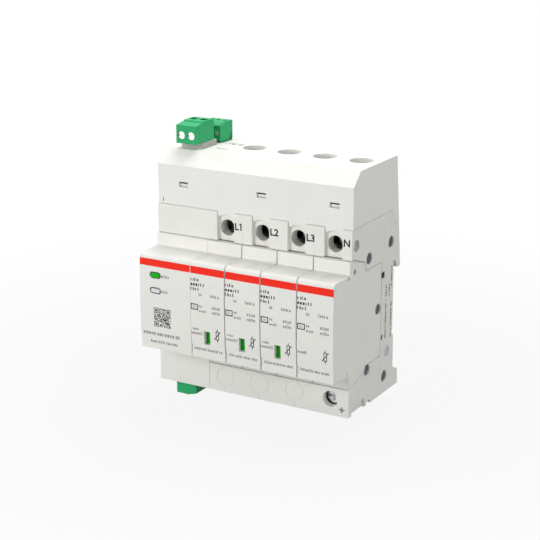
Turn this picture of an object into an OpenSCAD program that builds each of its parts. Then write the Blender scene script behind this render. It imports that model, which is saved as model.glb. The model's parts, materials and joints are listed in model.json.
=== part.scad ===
// Pluggable surge protective device for a 35 mm rail: four poles and a monitoring section.
// The rail plane is Y = 0, the front faces -Y, +Z is up, and Z = 0 is the centre of the rail.

/* [Widths] */
// Width of one protected pole
pole_w = 17.8; // [17.4:0.1:18.6]
// Width of the monitoring section
monitor_w = 26.7; // [26:0.1:30]
// Gap left at each side of a cartridge
side_gap = 0.25; // [0.1:0.05:0.3]
// Width of the recess in front of each line screw
recess_w = 8.8; // [8.4:0.1:10]

/* [Depths in front of the rail] */
// Label face of the cartridges
nose_d = 57.8; // [56:0.1:62]
// Shoulders of the cartridges
shoulder_d = 42.9; // [42.6:0.1:44]
// Lower skirt
skirt_d = 43; // [42.6:0.1:44]
// Upper cover
cover_d = 41; // [40.8:0.1:41.6]
// Back of a plugged-in cartridge
bay_d = 12; // [11.8:0.1:12.6]

/* [Heights from the rail centre] */
// Top of the nose
nose_top = 21.8; // [21:0.1:22.5]
// Bottom of the nose
nose_low = 22.5; // [22:0.1:23]
// Top of the cartridge shoulder
shoulder_top = 27.6; // [27.2:0.1:28]
// Bottom of the cartridge shoulder
shoulder_low = 29.7; // [29.4:0.1:30]
// Top of the terminal towers
tower_top = 41.2; // [41:0.1:43]
// Top of the upper cover
cover_top = 65.3; // [63:0.1:70]
// Bottom of the base
base_low = 43; // [42.8:0.1:46]

/* [Walls and gaps] */
// Wall of the bases
wall = 1.2; // [1.1:0.05:1.3]
// Wall of the monitoring section and of the covers' sides
shell = 1.5; // [1.3:0.1:1.8]
// Gap between a cartridge and its bay
bay_gap = 0.3; // [0.2:0.05:0.35]
// Gap at the seams between covers and bases
seam = 0.1; // [0.05:0.05:0.2]
// Clearance round parts that slide or pass through an opening
slide_gap = 0.2; // [0.15:0.05:0.25]

/* [Rail] */
// Height of the rail
rail_h = 35; // [35:0.1:35.4]
// Thickness of the rail's lips
rail_t = 1; // [0.8:0.1:1.2]
// Width of a rail clip
clip_w = 12; // [9:0.5:13]
// Travel of a rail clip
clip_travel = 3; // [2:0.5:3.5]

/* [Clamping terminals] */
// Height of the line screws above the rail centre
line_z = 33.8; // [33.6:0.1:34]
// Depth of the earth screw below the rail centre
earth_z = 35.5; // [35.4:0.1:35.8]
// Radius of a clamping screw's thread
screw_r = 2.45; // [2.2:0.05:2.5]
// Radius of a clamping screw's head
head_r = 3.25; // [3:0.05:3.3]
// Length of a clamping screw's head
head_l = 2; // [1.8:0.1:2.2]
// Radius of the holes over the clamping screws
access_r = 3.65; // [3.5:0.05:3.8]
// Depth of a line screw's head below its recess
head_depth = 9.6; // [9.2:0.1:9.8]
// Depth of the earth screw's head below the skirt's face
earth_depth = 4.2; // [4:0.1:4.6]
// Radius of a line conductor's entry
wire_r = 5.4; // [5:0.1:5.6]
// Opening of a line clamp
line_gap = 7.4; // [7:0.1:7.6]
// Opening of the earth clamp
earth_gap = 7; // [6.4:0.1:7.2]
// Width of a clamp
clamp_w = 9.8; // [9.4:0.1:10.4]
// Wall of a clamp
clamp_t = 1.2; // [1:0.1:1.3]
// Thickness of the contact strips
strip_t = 1.4; // [1.2:0.1:1.4]

/* [Cartridge] */
// Wall of a cartridge
case_wall = 1.3; // [1.1:0.1:1.5]
// Place of the seam between a cartridge's halves, from its pole's left edge
parting = 7; // [6.9:0.1:7.1]
// Thickness of the plug-in blades
blade_t = 1; // [0.8:0.1:1.2]
// Height of the plug-in blades
blade_h = 5; // [4:0.1:5.4]
// Depth in front of the rail that the blades reach
blade_tip_d = 4.6; // [4.4:0.1:6]
// Width of the indicator window
window_w = 3.1; // [2.6:0.1:3.3]
// Height of the indicator window
window_h = 6.2; // [5.4:0.1:6.6]

/* [Signal plugs] */
// Pitch of the supply plug
supply_pitch = 5.08; // [5:0.02:5.2]
// Pitch of the relay and bus plugs
signal_pitch = 3.5; // [3.4:0.05:3.6]
// Centre of the plugs, from the left side
plug_in = 11.25; // [10.5:0.05:12]

/* [Hidden] */

$fn = 48;
far = 100;
bite = 1;
poles = 4;

// Places across the row of poles
total_w = monitor_w + poles * pole_w;
left_x = -total_w / 2;
right_x = total_w / 2;
first_x = left_x + monitor_w;
monitor_x = left_x + monitor_w / 2;
half_w = pole_w / 2;
plug_x = left_x + plug_in;
function pole_x(k) = first_x + (k - 0.5) * pole_w;

// Front faces behind and above the nose
tab_d = cover_d + 0.8;
cover_wall = 1.2;
recess_d = cover_d - cover_wall;
skirt_wall = 2;
skirt_in_d = skirt_d - skirt_wall;
skirt_gap = 0.55;
shoulder_edge = 0.5;
tab_round = 1;

// Bay of a cartridge: its roof and floor slope in from the shoulders
bay_top = 19.9;
bay_low = 23.8;
roof_d = 28.7;
roof_z = 23.9;
floor_d = 29.1;
floor_z = 26.75;
bay_step = 0.6;

// Back of the base, round the rail
seat_step = 0.3;
seat_top = 13.4;
seat_low = 15.2;
hook_tip = 13.7;
hook_in = 3.6;
hook_back = 6.7;
hook_z = rail_h / 2 + slide_gap;
lip_gap = 0.3;
foot_back = 1.2;
foot_z = 33.4;
foot_low = 35.9;
cover_step_z = 35;
cover_back = 4.5;
cover_back_top = 1.3;
tower_back = 2.3;

// Cartridge
case_w = pole_w - 2 * side_gap;
label_bulge = 0.5;
label_low = 16.3;
strip_step = 0.8;
nose_round = 1.6;
nose_fillet = 0.7;
front_wall = 2.4;
nose_drop = 1.6;
cell_front = nose_d - front_wall;
cell_back = 18.2;
cell_gap = 0.5;
cell_t = 6.2;
cell_top = bay_top - case_wall;
cell_low = nose_low - case_wall;
cell_z = (cell_top - cell_low) / 2;
parting_x = parting - half_w;
blade_top_z = 14.5;
blade_low_z = -16.5;
window_x = parting_x;
window_z = -15.7;
flag_t = 0.8;
flag_travel = window_w + 0.3;
flag_lap = 0.6;
flag_deep = 5.2;
flag_arm_d = cell_front - flag_deep;
cell_size = flag_arm_d - 2 * cell_gap - cell_back;
cell_d = cell_back + cell_gap + cell_size / 2;
rivet_r = 1.55;
rivet_bore_r = rivet_r + 0.05;
rivet_head_r = 2.5;
rivet_head_l = 0.8;
rivet_well_r = 2.7;
rivet_well = 1.5;
case_rivet = [-14.9, -1.2];
pin_well = [-38.4, 22.2];
tooth_pitch = 2.5;
tooth = [1.7, 0.8];
grip_slot = [1, 2.1];
grip_slot_d = shoulder_d + 1.5;
grip_left = [1.1, 4.5];
grip_right = [8.3, pole_w];

// Contacts behind the bay
bay_back_wall = 1.15;
fork_front = bay_d - bay_back_wall;
fork_back = 3.6;
fork_room_back = fork_back - slide_gap;
fork_t = 0.7;
fork_fit = 0.05;
strip_w = 6.8;
drop_d = 8.2;
pad_gap = 0.9;

// Clamps: the thread is in the front wall, and the screw bears on the strip
nut_t = 2;
tip_fit = 0.2;
clamp_back_t = 1.6;
clamp_h = 10;
earth_clamp_h = 9.2;
wire_d = 16.2;
line_strip_d = wire_d + line_gap / 2;
line_bearing_d = line_strip_d + strip_t;
line_head_d = recess_d - head_depth;
line_front_wall = 5.3;
line_room_d = recess_d - line_front_wall;
line_clamp_d = line_bearing_d + tip_fit + nut_t;
line_room_low = line_z - clamp_h / 2 - slide_gap;
line_room_top = tower_top - 1.6;
line_room_back = 6.2;
line_strip_z = line_room_low - 0.4 - strip_t;
earth_head_d = skirt_d - earth_depth;
earth_room_d = skirt_in_d - wall;
earth_bearing_d = 29.8;
earth_strip_d = earth_bearing_d - strip_t;
earth_clamp_d = earth_bearing_d + tip_fit + nut_t;
earth_strip_z = -29.1;
earth_room_low = base_low - 1.6;
earth_room_top = -earth_z + earth_clamp_h / 2 + 1.5 * slide_gap;
earth_room_back = 14;
earth_bar_low = -30.5;
earth_wire_r = 4.2;
earth_wire_d = earth_strip_d - earth_gap / 2;

// Rivets through the bases, as depth and height
rivet_places = [[-25.1, 24.8], [-3.3, 27], [-25.35, -26.3], [-7.85, -35]];
boss_r = 3.6;
boss_l = 3.2;
open_wells = [[-37.6, 33.5], [-5.6, -23.8]];
open_well_depths = [2.2, 0.9];
side_notches = [[[-12, -9.1], [12, 15]], [[-11.6, -10], [-16.2, -14.8]]];
side_notch = 3;
return_w = rivet_well;
entry_notch = [[0.9 - skirt_in_d, 13.6 - skirt_in_d], 4.2 - base_low];
foot_notch = [[15.9 - skirt_in_d, 19.4 - skirt_in_d], 1.6 - base_low];

// Latches of the upper cover
window_low = 49.6;
latch_window_h = 2.3;
latch_window_w = 4.7;
tongue_t = 1.2;

// Plugs: heights are from the face that the plug stands on
header_sink = 4.3;
header_floor = 0.7;
header_wall = 0.8;
board_t = 1.6;
board_top = cover_top - header_sink;
board_low = base_low - header_sink;
supply_d = 24.3;
relay_d = 9.6;
supply_w = 2 * supply_pitch + 0.2;
supply_deep = 11.8;
supply_stand = 2.6;
supply_top = supply_stand + 9.5;
supply_screw_z = 6.25;
supply_front = -supply_deep / 2 - 4.8;
supply_head_r = 1.75;
signal_w = 3 * signal_pitch + 0.2;
signal_deep = 9.4;
bus_d = skirt_in_d - signal_deep / 2 - 3.1;
relay_top = 9.05;
bus_top = 7.5;
plug_slot = [0.9, 1.8, 4];
bus_corner = [3.9, 0.35, 1.35];
signal_screw_z = 4.3;
signal_front = -signal_deep / 2 - 0.7;
screw_sink = 0.3;
signal_head_r = 1.15;
screw_fit = 0.1;
screw_head_l = 2;
small_screw_l = 7.3;
head_hole = screw_sink + screw_head_l + 0.5;
screw_hole_l = screw_sink + small_screw_l + 0.7;
pin_w = 0.9;
pin_foot = 1.5;
supply_pin_top = 2;
signal_pin_top = -0.4;
light_z = [12.35, 5.25];
light_in = 8.4;
light_r = 1.15;
light_half = 1.45;
light_proud = 0.05;
light_rim = 0.35;
light_rim_deep = 0.9;
board_front = 50;
board_rise = bus_d + 3.4;
board_nose = 17;
board_items = [[8, [-30, -14], [4, 20]], [6.5, [-34, -12], [-20, -8]], [1.2, [-46, -36], [-6, 4]]];
back_item = [5, [-24, -12], [-34, -24]];
room_back = 4.6;

// Rail clip
clip_front = -2.4;
clip_t = 2;
clip_top = -18.1;
clip_nose_top = -15.6;
clip_head_h = 4;
clip_nose_back = 3.4;
clip_slot_front = clip_front - slide_gap;
clip_slot_back = clip_front + clip_t + slide_gap;

function arc(c, r, a0, a1, n) =
    [for (i = [0:n]) let (a = a0 + (a1 - a0) * i / n) [c[0] + r * cos(a), c[1] + r * sin(a)]];

// Bulging label face between two heights
function bulge(low, top, n) =
    [for (i = [0:n]) let (t = 2 * i / n - 1, z = low + (top - low) * i / n)
        [-nose_d + label_bulge * t * t, z]];

// Upper corner of the nose and the fillet under the shoulder strip
nose_corner = concat(
    arc([-nose_d + label_bulge + nose_round, nose_top - nose_round], nose_round, 180, 90, 6),
    arc([-shoulder_d - nose_fillet, nose_top + nose_fillet], nose_fillet, -90, 0, 4)
);

// Outline of a cartridge, as depth and height
cartridge_outline = concat(
    [[-shoulder_d, -nose_low - nose_drop], [-nose_d + strip_step, -nose_low]],
    [[-nose_d + strip_step, -label_low - 0.4]],
    bulge(-label_low, nose_top - nose_round, 10),
    nose_corner,
    [
        [-shoulder_d, shoulder_top - shoulder_edge],
        [-shoulder_d + shoulder_edge, shoulder_top],
        [-recess_d, shoulder_top],
        [-roof_d, roof_z],
        [-roof_d + bay_step, bay_top],
        [-bay_d, bay_top],
        [-bay_d, -bay_low],
        [-floor_d + bay_step, -bay_low],
        [-floor_d, -floor_z],
        [-skirt_in_d, -shoulder_low],
        [-shoulder_d, -shoulder_low]
    ]
);

// Floor of the bays with what stands below it, from the back to the front
bay_floor = [
    [-bay_d, -bay_low - bay_gap],
    [-floor_d + bay_step, -bay_low - bay_gap],
    [-floor_d, -floor_z - bay_gap],
    [-skirt_in_d, -shoulder_low - bay_gap]
];

// Back of all bases, from the bottom to the top
base_back = [
    [hook_back, -base_low],
    [hook_back - 0.4, -foot_low],
    [foot_back + 0.1, -foot_z],
    [foot_back, -hook_z],
    [-seat_step, -hook_z],
    [-seat_step, -seat_low],
    [0, -seat_low],
    [0, seat_top],
    [-seat_step, seat_top],
    [-seat_step, hook_z],
    [rail_t + lip_gap, hook_z],
    [hook_in, hook_tip],
    [hook_back, hook_tip],
    [cover_back, cover_step_z],
    [-0.2, cover_step_z],
    [-tower_back, tower_top]
];

// Outline of a pole's base: a tower above and a foot below its bay
pole_outline = concat(
    [
        [-recess_d, shoulder_top + bay_gap],
        [-roof_d, roof_z + bay_gap],
        [-roof_d + bay_step, bay_top + bay_gap],
        [-bay_d, bay_top + bay_gap]
    ],
    bay_floor,
    [[-skirt_in_d, -base_low]],
    base_back,
    [[-recess_d, tower_top]]
);

// Face between the towers and the upper cover, rounded at its top edge
tab_low = shoulder_top + bay_gap;
tab_top = tower_top - 2 * seam;
tab_outline = concat(
    [[-recess_d, tab_low], [-tab_d, tab_low]],
    arc([-tab_d + tab_round, tab_top - tab_round], tab_round, 180, 90, 5),
    [[-recess_d, tab_top]]
);

// Box between two places along each axis
module span(x, y, z) {
    translate([x[0], y[0], z[0]])
        cube([x[1] - x[0], y[1] - y[0], z[1] - z[0]]);
}

// Outline of depth and height, drawn out along X between two places
module draw_x(x0, x1, points) {
    translate([x0, 0, 0])
        rotate([90, 0, 90])
            linear_extrude(x1 - x0)
                polygon(points);
}

// Round bar along X at a depth and height
module bar_x(r, x0, x1, place) {
    translate([x0, place[0], place[1]])
        rotate([0, 90, 0])
            cylinder(r = r, h = x1 - x0);
}

// Round bar along Y at a place across and a height
module bar_y(r, y0, y1, x, z) {
    translate([x, y0, z])
        rotate([-90, 0, 0])
            cylinder(r = r, h = y1 - y0);
}

// Upright round bar
module bar_z(r, z0, z1, x, y) {
    translate([x, y, z0])
        cylinder(r = r, h = z1 - z0);
}

// Sprung tongue with the nib that shows in a window of the upper cover
module latch_tongue() {
    half = latch_window_w / 2 - slide_gap;
    y0 = -recess_d + slide_gap;
    nib = window_low + 0.6 * latch_window_h;
    span([-half, half], [y0, y0 + tongue_t], [tower_top - bite, nib]);
    draw_x(-half, half, [
        [y0 + tongue_t, nib],
        [y0 - cover_wall / 2, nib],
        [y0 - cover_wall / 2, nib - 1],
        [y0, nib - 1.3],
        [y0 + tongue_t, nib - 1.3]
    ]);
}

// Slot that a rail clip slides in, open below and towards the rail
module clip_slot() {
    half = clip_w / 2 + slide_gap;
    span([-half, half], [clip_slot_front, clip_slot_back], [-base_low - bite, -hook_z + bite]);
    span([-half, half], [clip_slot_front, far], [clip_top - clip_head_h - clip_travel - slide_gap, -hook_z]);
}

// Rooms for the upper terminal, the contact strip and the two forks of one pole
module pole_rooms(x_in) {
    span([-far, x_in], [-line_room_d, -line_room_back], [line_room_low, line_room_top]);
    span([-far, x_in], [-line_bearing_d - 0.6, -drop_d + pad_gap], [line_strip_z, line_room_low + bite]);
    span([-far, x_in], [-drop_d - strip_t - pad_gap, -drop_d + pad_gap], [bay_top, line_strip_z + bite]);
    span([-far, x_in], [-fork_front, -fork_room_back], [-bay_low + 1.4, bay_top + 0.5]);
    span([-far, x_in], [-drop_d - strip_t - pad_gap, -drop_d + pad_gap], [earth_bar_low - 0.4, -bay_low + 2]);
}

// Slots in the back of the bay for the cartridge's two blades
module blade_slots() {
    half_t = blade_t / 2 + 2 * slide_gap;
    half_h = blade_h / 2 + 2 * slide_gap;
    for (z = [blade_top_z, blade_low_z])
        span([-half_t, half_t], [-bay_d - bite, -fork_front + bite], [z - half_h, z + half_h]);
}

module pole_base(k) {
    last = k == poles;
    x_in = half_w - wall;
    low_in = last ? x_in - return_w : x_in;
    color([0.86, 0.86, 0.83])
        translate([pole_x(k), 0, 0])
            difference() {
                union() {
                    draw_x(-half_w, half_w, pole_outline);
                    draw_x(-half_w, -recess_w / 2, tab_outline);
                    draw_x(recess_w / 2, half_w, tab_outline);
                    if (k == 2 || last)
                        latch_tongue();
                }
                pole_rooms(x_in);
                blade_slots();
                bar_y(access_r, -recess_d - bite, -line_room_d + bite, 0, line_z);
                bar_z(wire_r, line_room_top - bite, tower_top + bite, 0, -wire_d);
                for (place = rivet_places)
                    bar_x(rivet_bore_r, -far, far, place);
                if (last)
                    last_pole_cuts(low_in);
                else
                    plain_foot_cuts(low_in);
            }
}

// Foot of a pole with no terminal: an empty room and the passage of the earth bar
module plain_foot_cuts(x_in) {
    span([-far, x_in], [-skirt_in_d - bite, -earth_room_back], [-earth_room_low, -shoulder_low - 1.5]);
    span([x_in - bite, far], [-drop_d - strip_t - slide_gap, -drop_d + slide_gap],
        [earth_bar_low - slide_gap, -bay_low + 1.4]);
}

// Foot of the last pole: the earth terminal, the end wall's place, a clip and the open wells
module last_pole_cuts(x_in) {
    span([-far, x_in], [-earth_room_d, -earth_room_back], [-earth_room_low, earth_room_top]);
    span([-far, x_in], [-earth_bearing_d - 0.8, -drop_d], [earth_room_top - bite, earth_strip_z]);
    bar_y(access_r, -skirt_in_d - bite, -earth_room_d + bite, 0, -earth_z);
    bar_z(earth_wire_r, -base_low - bite, -earth_room_low + bite, 0, -earth_wire_d);
    span([half_w - return_w, far], [-far, -bay_d], [-far, -bay_low]);
    clip_slot();
    for (place = [rivet_places[0], rivet_places[1], rivet_places[3]])
        bar_x(rivet_well_r, half_w - rivet_well, far, place);
    for (i = [0, 1]) {
        bar_x(rivet_well_r, half_w - open_well_depths[i], far, open_wells[i]);
        span([half_w - side_notch, far], side_notches[i][0], side_notches[i][1]);
    }
}

module monitor_base() {
    x0 = left_x + shell;
    x1 = first_x - shell;
    color([0.86, 0.86, 0.83])
        difference() {
            union() {
                difference() {
                    union() {
                        draw_x(left_x, first_x, concat([
                            [-recess_d, tower_top],
                            [-recess_d, tab_low],
                            [-skirt_in_d, tab_low],
                            [-skirt_in_d, -base_low]
                        ], base_back));
                        draw_x(left_x, first_x, tab_outline);
                    }
                    span([x0, x1], [-far, -room_back], [-base_low + shell, tab_low - shell]);
                    span([x0, x1], [-tab_d + shell, -room_back], [0, far]);
                }
                for (place = rivet_places)
                    bar_x(boss_r, left_x, left_x + boss_l, place);
                translate([monitor_x, 0, 0])
                    latch_tongue();
                span([monitor_x - latch_window_w / 2, monitor_x + latch_window_w / 2],
                    [-tab_d + shell - bite, -recess_d + slide_gap + tongue_t], [tab_low, tab_top]);
            }
            for (place = rivet_places) {
                bar_x(rivet_bore_r, left_x - bite, first_x + bite, place);
                bar_x(rivet_well_r, left_x - bite, left_x + rivet_well, place);
            }
            signal_opening(-bus_d, -base_low - bite, -base_low + shell + bite);
            translate([monitor_x, 0, 0])
                clip_slot();
        }
}

// Opening for a signal header, between two heights
module signal_opening(y, z0, z1) {
    half_x = signal_w / 2 + header_wall / 2 + slide_gap;
    half_y = signal_deep / 2 + slide_gap;
    span([plug_x - half_x, plug_x + half_x], [y - half_y, y + half_y], [z0, z1]);
}

// Round-ended light window along Y, wider by a clearance
module light_bar(i, y0, y1, gap) {
    x = left_x + light_in;
    for (side = [-1, 1])
        bar_y(light_r + gap, y0, y1, x + side * light_half, light_z[i]);
    span([x - light_half, x + light_half], [y0, y1],
        [light_z[i] - light_r - gap, light_z[i] + light_r + gap]);
}

module monitor_front() {
    front = concat(
        [[-skirt_in_d, -base_low], [-skirt_d, -base_low], [-skirt_d, -nose_low]],
        bulge(-nose_low, nose_top - nose_round, 12),
        nose_corner,
        [
            [-shoulder_d, shoulder_top - shoulder_edge],
            [-shoulder_d + shoulder_edge, shoulder_top],
            [-skirt_in_d, shoulder_top]
        ]
    );
    color([0.9, 0.9, 0.87])
        difference() {
            draw_x(left_x, first_x + side_gap - seam, front);
            span([left_x + shell, first_x - shell], [-nose_d + front_wall, far],
                [-nose_low + shell, nose_top - shell]);
            for (i = [0, 1]) {
                light_bar(i, -far, -nose_d + light_rim_deep, light_rim);
                light_bar(i, -far, -nose_d + front_wall + bite, seam);
            }
        }
}

module light(i) {
    light_bar(i, -nose_d + light_proud, -board_front, 0);
}

module power_light() {
    color([0, 0.72, 0.1])
        light(0);
}

module bus_light() {
    color([0.85, 0.88, 0.9])
        light(1);
}

// Vertical board with the relay, the transformer and the processor on it
module circuit_board() {
    x0 = plug_x - board_t / 2;
    x1 = plug_x + board_t / 2;
    color([0.1, 0.42, 0.25])
        difference() {
            union() {
                draw_x(x0, x1, [
                    [-room_back, -board_low],
                    [-board_rise, -board_low],
                    [-board_rise, -board_nose],
                    [-board_front, -board_nose],
                    [-board_front, board_nose],
                    [-board_rise, board_nose],
                    [-board_rise, board_top],
                    [-room_back, board_top]
                ]);
                for (item = board_items)
                    span([x1 - bite, x1 + item[0]], item[1], item[2]);
                span([x0 - back_item[0], x1 - bite / 2], back_item[1], back_item[2]);
            }
            for (place = rivet_places)
                bar_x(boss_r, -far, far, place);
        }
    color([0.8, 0.8, 0.78]) {
        translate([plug_x, -supply_d, cover_top])
            header_pins(2, supply_pitch, supply_pin_top);
        translate([plug_x, -relay_d, cover_top])
            header_pins(3, signal_pitch, signal_pin_top);
        translate([plug_x, -bus_d, -base_low])
            rotate([180, 0, 0])
                header_pins(3, signal_pitch, signal_pin_top);
    }
}

module top_cover() {
    outer = [
        [-cover_d, tower_top - seam],
        [-cover_d, cover_top - 6.1],
        [-cover_d + 6.7, cover_top],
        [cover_back_top - 0.5, cover_top],
        [cover_back_top, cover_top - 0.5],
        [cover_back, cover_step_z + seam],
        [-0.2 + seam, cover_step_z + seam],
        [-tower_back + seam, tower_top + seam],
        [-recess_d, tower_top + seam],
        [-recess_d, tower_top - seam]
    ];
    inner = [
        [-recess_d, 0],
        [-recess_d, cover_top - 6.6],
        [-recess_d + 6, cover_top - shell],
        [cover_back_top - shell, cover_top - shell],
        [cover_back - shell, 0]
    ];
    color([0.9, 0.9, 0.88])
        difference() {
            union() {
                difference() {
                    draw_x(left_x, right_x, outer);
                    draw_x(left_x + shell, right_x - shell, inner);
                }
                for (k = [1:poles]) {
                    translate([pole_x(k), 0, 0])
                        cover_arch();
                    bar_z(wire_r + wall, tower_top + seam, cover_top - bite, pole_x(k), -wire_d);
                }
            }
            for (k = [1:poles])
                bar_z(wire_r, 0, far, pole_x(k), -wire_d);
            for (x = [monitor_x, pole_x(2), pole_x(4)])
                span([x - latch_window_w / 2, x + latch_window_w / 2], [-far, -recess_d + bite / 2],
                    [window_low, window_low + latch_window_h]);
            supply_opening();
            signal_opening(-relay_d, cover_top - 2 * shell, far);
        }
}

// Web of the cover between two tabs, arched over the screw hole
module cover_arch() {
    half = recess_w / 2 - seam;
    difference() {
        span([-half, half], [-cover_d, -recess_d], [line_z + 3.8, tower_top - seam]);
        bar_y(6, -far, far, 0, line_z);
    }
}

module supply_opening() {
    half_x = supply_w / 2 + header_wall / 2 + slide_gap;
    half_y = supply_deep / 2 + slide_gap;
    span([plug_x - half_x, plug_x + half_x], [-supply_d - half_y, -supply_d + half_y],
        [cover_top - 2 * shell, far]);
}

module bottom_cover() {
    color([0.87, 0.87, 0.84])
        difference() {
            union() {
                span([first_x + side_gap, right_x], [-skirt_d, -skirt_in_d],
                    [-base_low, -shoulder_low - skirt_gap]);
                draw_x(right_x - return_w, right_x, concat(bay_floor, [
                    [-skirt_in_d, -shoulder_low - skirt_gap],
                    [-skirt_d, -shoulder_low - skirt_gap],
                    [-skirt_d, -base_low],
                    [-bay_d, -base_low]
                ]));
            }
            bar_y(access_r, -far, -skirt_in_d + bite, pole_x(poles), -earth_z);
            bar_x(rivet_well_r, right_x - 2 * return_w, far, rivet_places[2]);
            for (notch = [entry_notch, foot_notch])
                span([right_x - 2 * return_w, far], notch[0], [-far, notch[1]]);
            for (k = [1:poles - 1])
                translate([pole_x(k), 0, -earth_z])
                    knockout();
        }
}

// Groove round a round knockout, with its tail to the bottom edge
module knockout() {
    knock_r = 4.4;
    groove = 0.25;
    difference() {
        bar_y(knock_r + groove, -skirt_d - bite, -skirt_d + groove, 0, 0);
        bar_y(knock_r, -far, 0, 0, 0);
    }
    span([-groove / 2, groove / 2], [-skirt_d - bite, -skirt_d + groove], [-far, -knock_r]);
}

module rivets() {
    color([0.42, 0.47, 0.55])
        for (place = rivet_places) {
            bar_x(rivet_r, left_x + rivet_well - bite / 2, right_x - rivet_well + bite / 2, place);
            bar_x(rivet_head_r, right_x - rivet_well, right_x - rivet_well + rivet_head_l, place);
            bar_x(rivet_head_r, left_x + rivet_well - rivet_head_l, left_x + rivet_well, place);
        }
}

// Header with an open socket: its width, its depth and its stand above the face
module header(w, deep, stand, count, pitch) {
    hx = w / 2 + header_wall / 2;
    hy = deep / 2;
    difference() {
        span([-hx, hx], [-hy, hy], [-header_sink, stand]);
        span([-hx + header_wall, hx - header_wall], [-hy + header_wall, hy - header_wall],
            [-header_sink + header_floor, far]);
        pin_row(count, pitch, -far, far, seam);
    }
}

// Row of square pins between two heights, wider by a clearance
module pin_row(count, pitch, z0, z1, gap) {
    half = pin_w / 2 + gap;
    for (i = [1:count]) {
        x = (i - (count + 1) / 2) * pitch;
        span([x - half, x + half], [-half, half], [z0, z1]);
    }
}

// Pins of a header with the bar that carries them on the board's edge
module header_pins(count, pitch, top) {
    foot_z = -header_sink - pin_foot;
    reach = (count - 1) / 2 * pitch + pin_w / 2;
    pin_row(count, pitch, foot_z, top, 0);
    span([-reach, reach], [-pin_w / 2, pin_w / 2], [foot_z, foot_z + pin_w]);
}

module supply_header() {
    color([0.62, 0.64, 0.64])
        translate([plug_x, -supply_d, cover_top])
            header(supply_w, supply_deep, supply_stand, 2, supply_pitch);
}

module relay_header() {
    color([0.62, 0.64, 0.64])
        translate([plug_x, -relay_d, cover_top])
            header(signal_w, signal_deep, -slide_gap, 3, signal_pitch);
}

module bus_header() {
    color([0.62, 0.64, 0.64])
        translate([plug_x, -bus_d, -base_low])
            rotate([180, 0, 0])
                header(signal_w, signal_deep, -slide_gap, 3, signal_pitch);
}

// Part of a plug that goes into its header, from a height down
module plug_tongue(w, deep, top) {
    hx = w / 2 - header_wall / 2 - slide_gap;
    hy = deep / 2 - header_wall - slide_gap;
    span([-hx, hx], [-hy, hy], [-header_sink + header_floor + slide_gap, top]);
}

// Hole for a plug's screw, from the front face in
module plug_screw_hole(r, front, x, z) {
    bar_y(r + screw_fit, front - bite, front + head_hole, x, z);
    bar_y(0.75 * r + screw_fit, front, front + screw_hole_l, x, z);
}

module supply_plug() {
    front = supply_front;
    back = supply_deep / 2 - 1.6;
    top = supply_top;
    color([0.16, 0.68, 0.4])
        translate([plug_x, -supply_d, cover_top])
            difference() {
                union() {
                    draw_x(-supply_w / 2, supply_w / 2, [
                        [front, supply_stand],
                        [front, top - 1.2],
                        [front + 1.6, top - 1.2],
                        [front + 5, top - 0.5],
                        [front + 5, top - 1],
                        [front + 5.7, top - 1],
                        [front + 6.4, top],
                        [back - 0.4, top],
                        [back, top - 0.4],
                        [back, supply_stand]
                    ]);
                    plug_tongue(supply_w, supply_deep, supply_stand + bite);
                }
                pin_row(2, supply_pitch, -far, supply_pin_top + slide_gap, slide_gap);
                for (i = [-0.5, 0.5]) {
                    plug_screw_hole(supply_head_r, front, i * supply_pitch, supply_screw_z);
                    span([i * supply_pitch - 1.7, i * supply_pitch + 1.7], [front + 8.9, back - 1.9],
                        [supply_stand + 2, far]);
                }
            }
}

// Plug of three signal contacts with its screws on the -Y face, up to a height
module signal_plug(top) {
    difference() {
        union() {
            draw_x(-signal_w / 2, signal_w / 2, [
                [signal_front + 0.9, slide_gap],
                [signal_front, slide_gap + 1.1],
                [signal_front, top - 1.25],
                [signal_front + 0.5, top - 1.15],
                [signal_front + 3.8, top],
                [-signal_front - 0.4, top],
                [-signal_front, top - 0.4],
                [-signal_front, slide_gap]
            ]);
            plug_tongue(signal_w, signal_deep, slide_gap + bite);
        }
        draw_x(-far, far, [
            [-signal_front - plug_slot[0], 0],
            [-signal_front - plug_slot[0] - 0.2, plug_slot[2]],
            [-signal_front - plug_slot[0] - plug_slot[1], 0]
        ]);
        pin_row(3, signal_pitch, -far, signal_pin_top + slide_gap, slide_gap);
        for (i = [-1:1]) {
            plug_screw_hole(signal_head_r, signal_front, i * signal_pitch, signal_screw_z);
            span([i * signal_pitch - 1, i * signal_pitch + 1], [signal_front + 6.2, -signal_front - 2.9],
                [slide_gap + 1.5, far]);
        }
    }
}

module relay_plug() {
    color([0.16, 0.68, 0.4])
        translate([plug_x, -relay_d, cover_top])
            signal_plug(relay_top);
}

module bus_plug() {
    color([0.16, 0.68, 0.4])
        translate([plug_x, -bus_d, -base_low])
            rotate([180, 0, 0])
                difference() {
                    signal_plug(bus_top);
                    rotate([90, 0, 0])
                        translate([0, 0, -far])
                            linear_extrude(2 * far)
                                polygon([
                                    [signal_w / 2 - bus_corner[0], bus_top - bus_corner[1]],
                                    [signal_w / 2, bus_top - bus_corner[2]],
                                    [signal_w / 2 + bite, bus_top + bite],
                                    [signal_w / 2 - bus_corner[0], bus_top + bite]
                                ]);
                }
}

// Small slotted screw along +Y, its head's face at the origin
module small_screw(r) {
    color([0.85, 0.86, 0.88])
        difference() {
            union() {
                bar_y(r, 0, screw_head_l, 0, 0);
                bar_y(0.75 * r, 0, small_screw_l, 0, 0);
            }
            span([-far, far], [-bite, 0.6], [-r / 6, r / 6]);
        }
}

module supply_screw(i) {
    x = plug_x + (i - 1.5) * supply_pitch;
    translate([x, -supply_d + supply_front + 1.5 * screw_sink, cover_top + supply_screw_z])
        small_screw(supply_head_r);
}

module relay_screw(i) {
    x = plug_x + (i - 2) * signal_pitch;
    translate([x, -relay_d + signal_front + screw_sink, cover_top + signal_screw_z])
        small_screw(signal_head_r);
}

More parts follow.
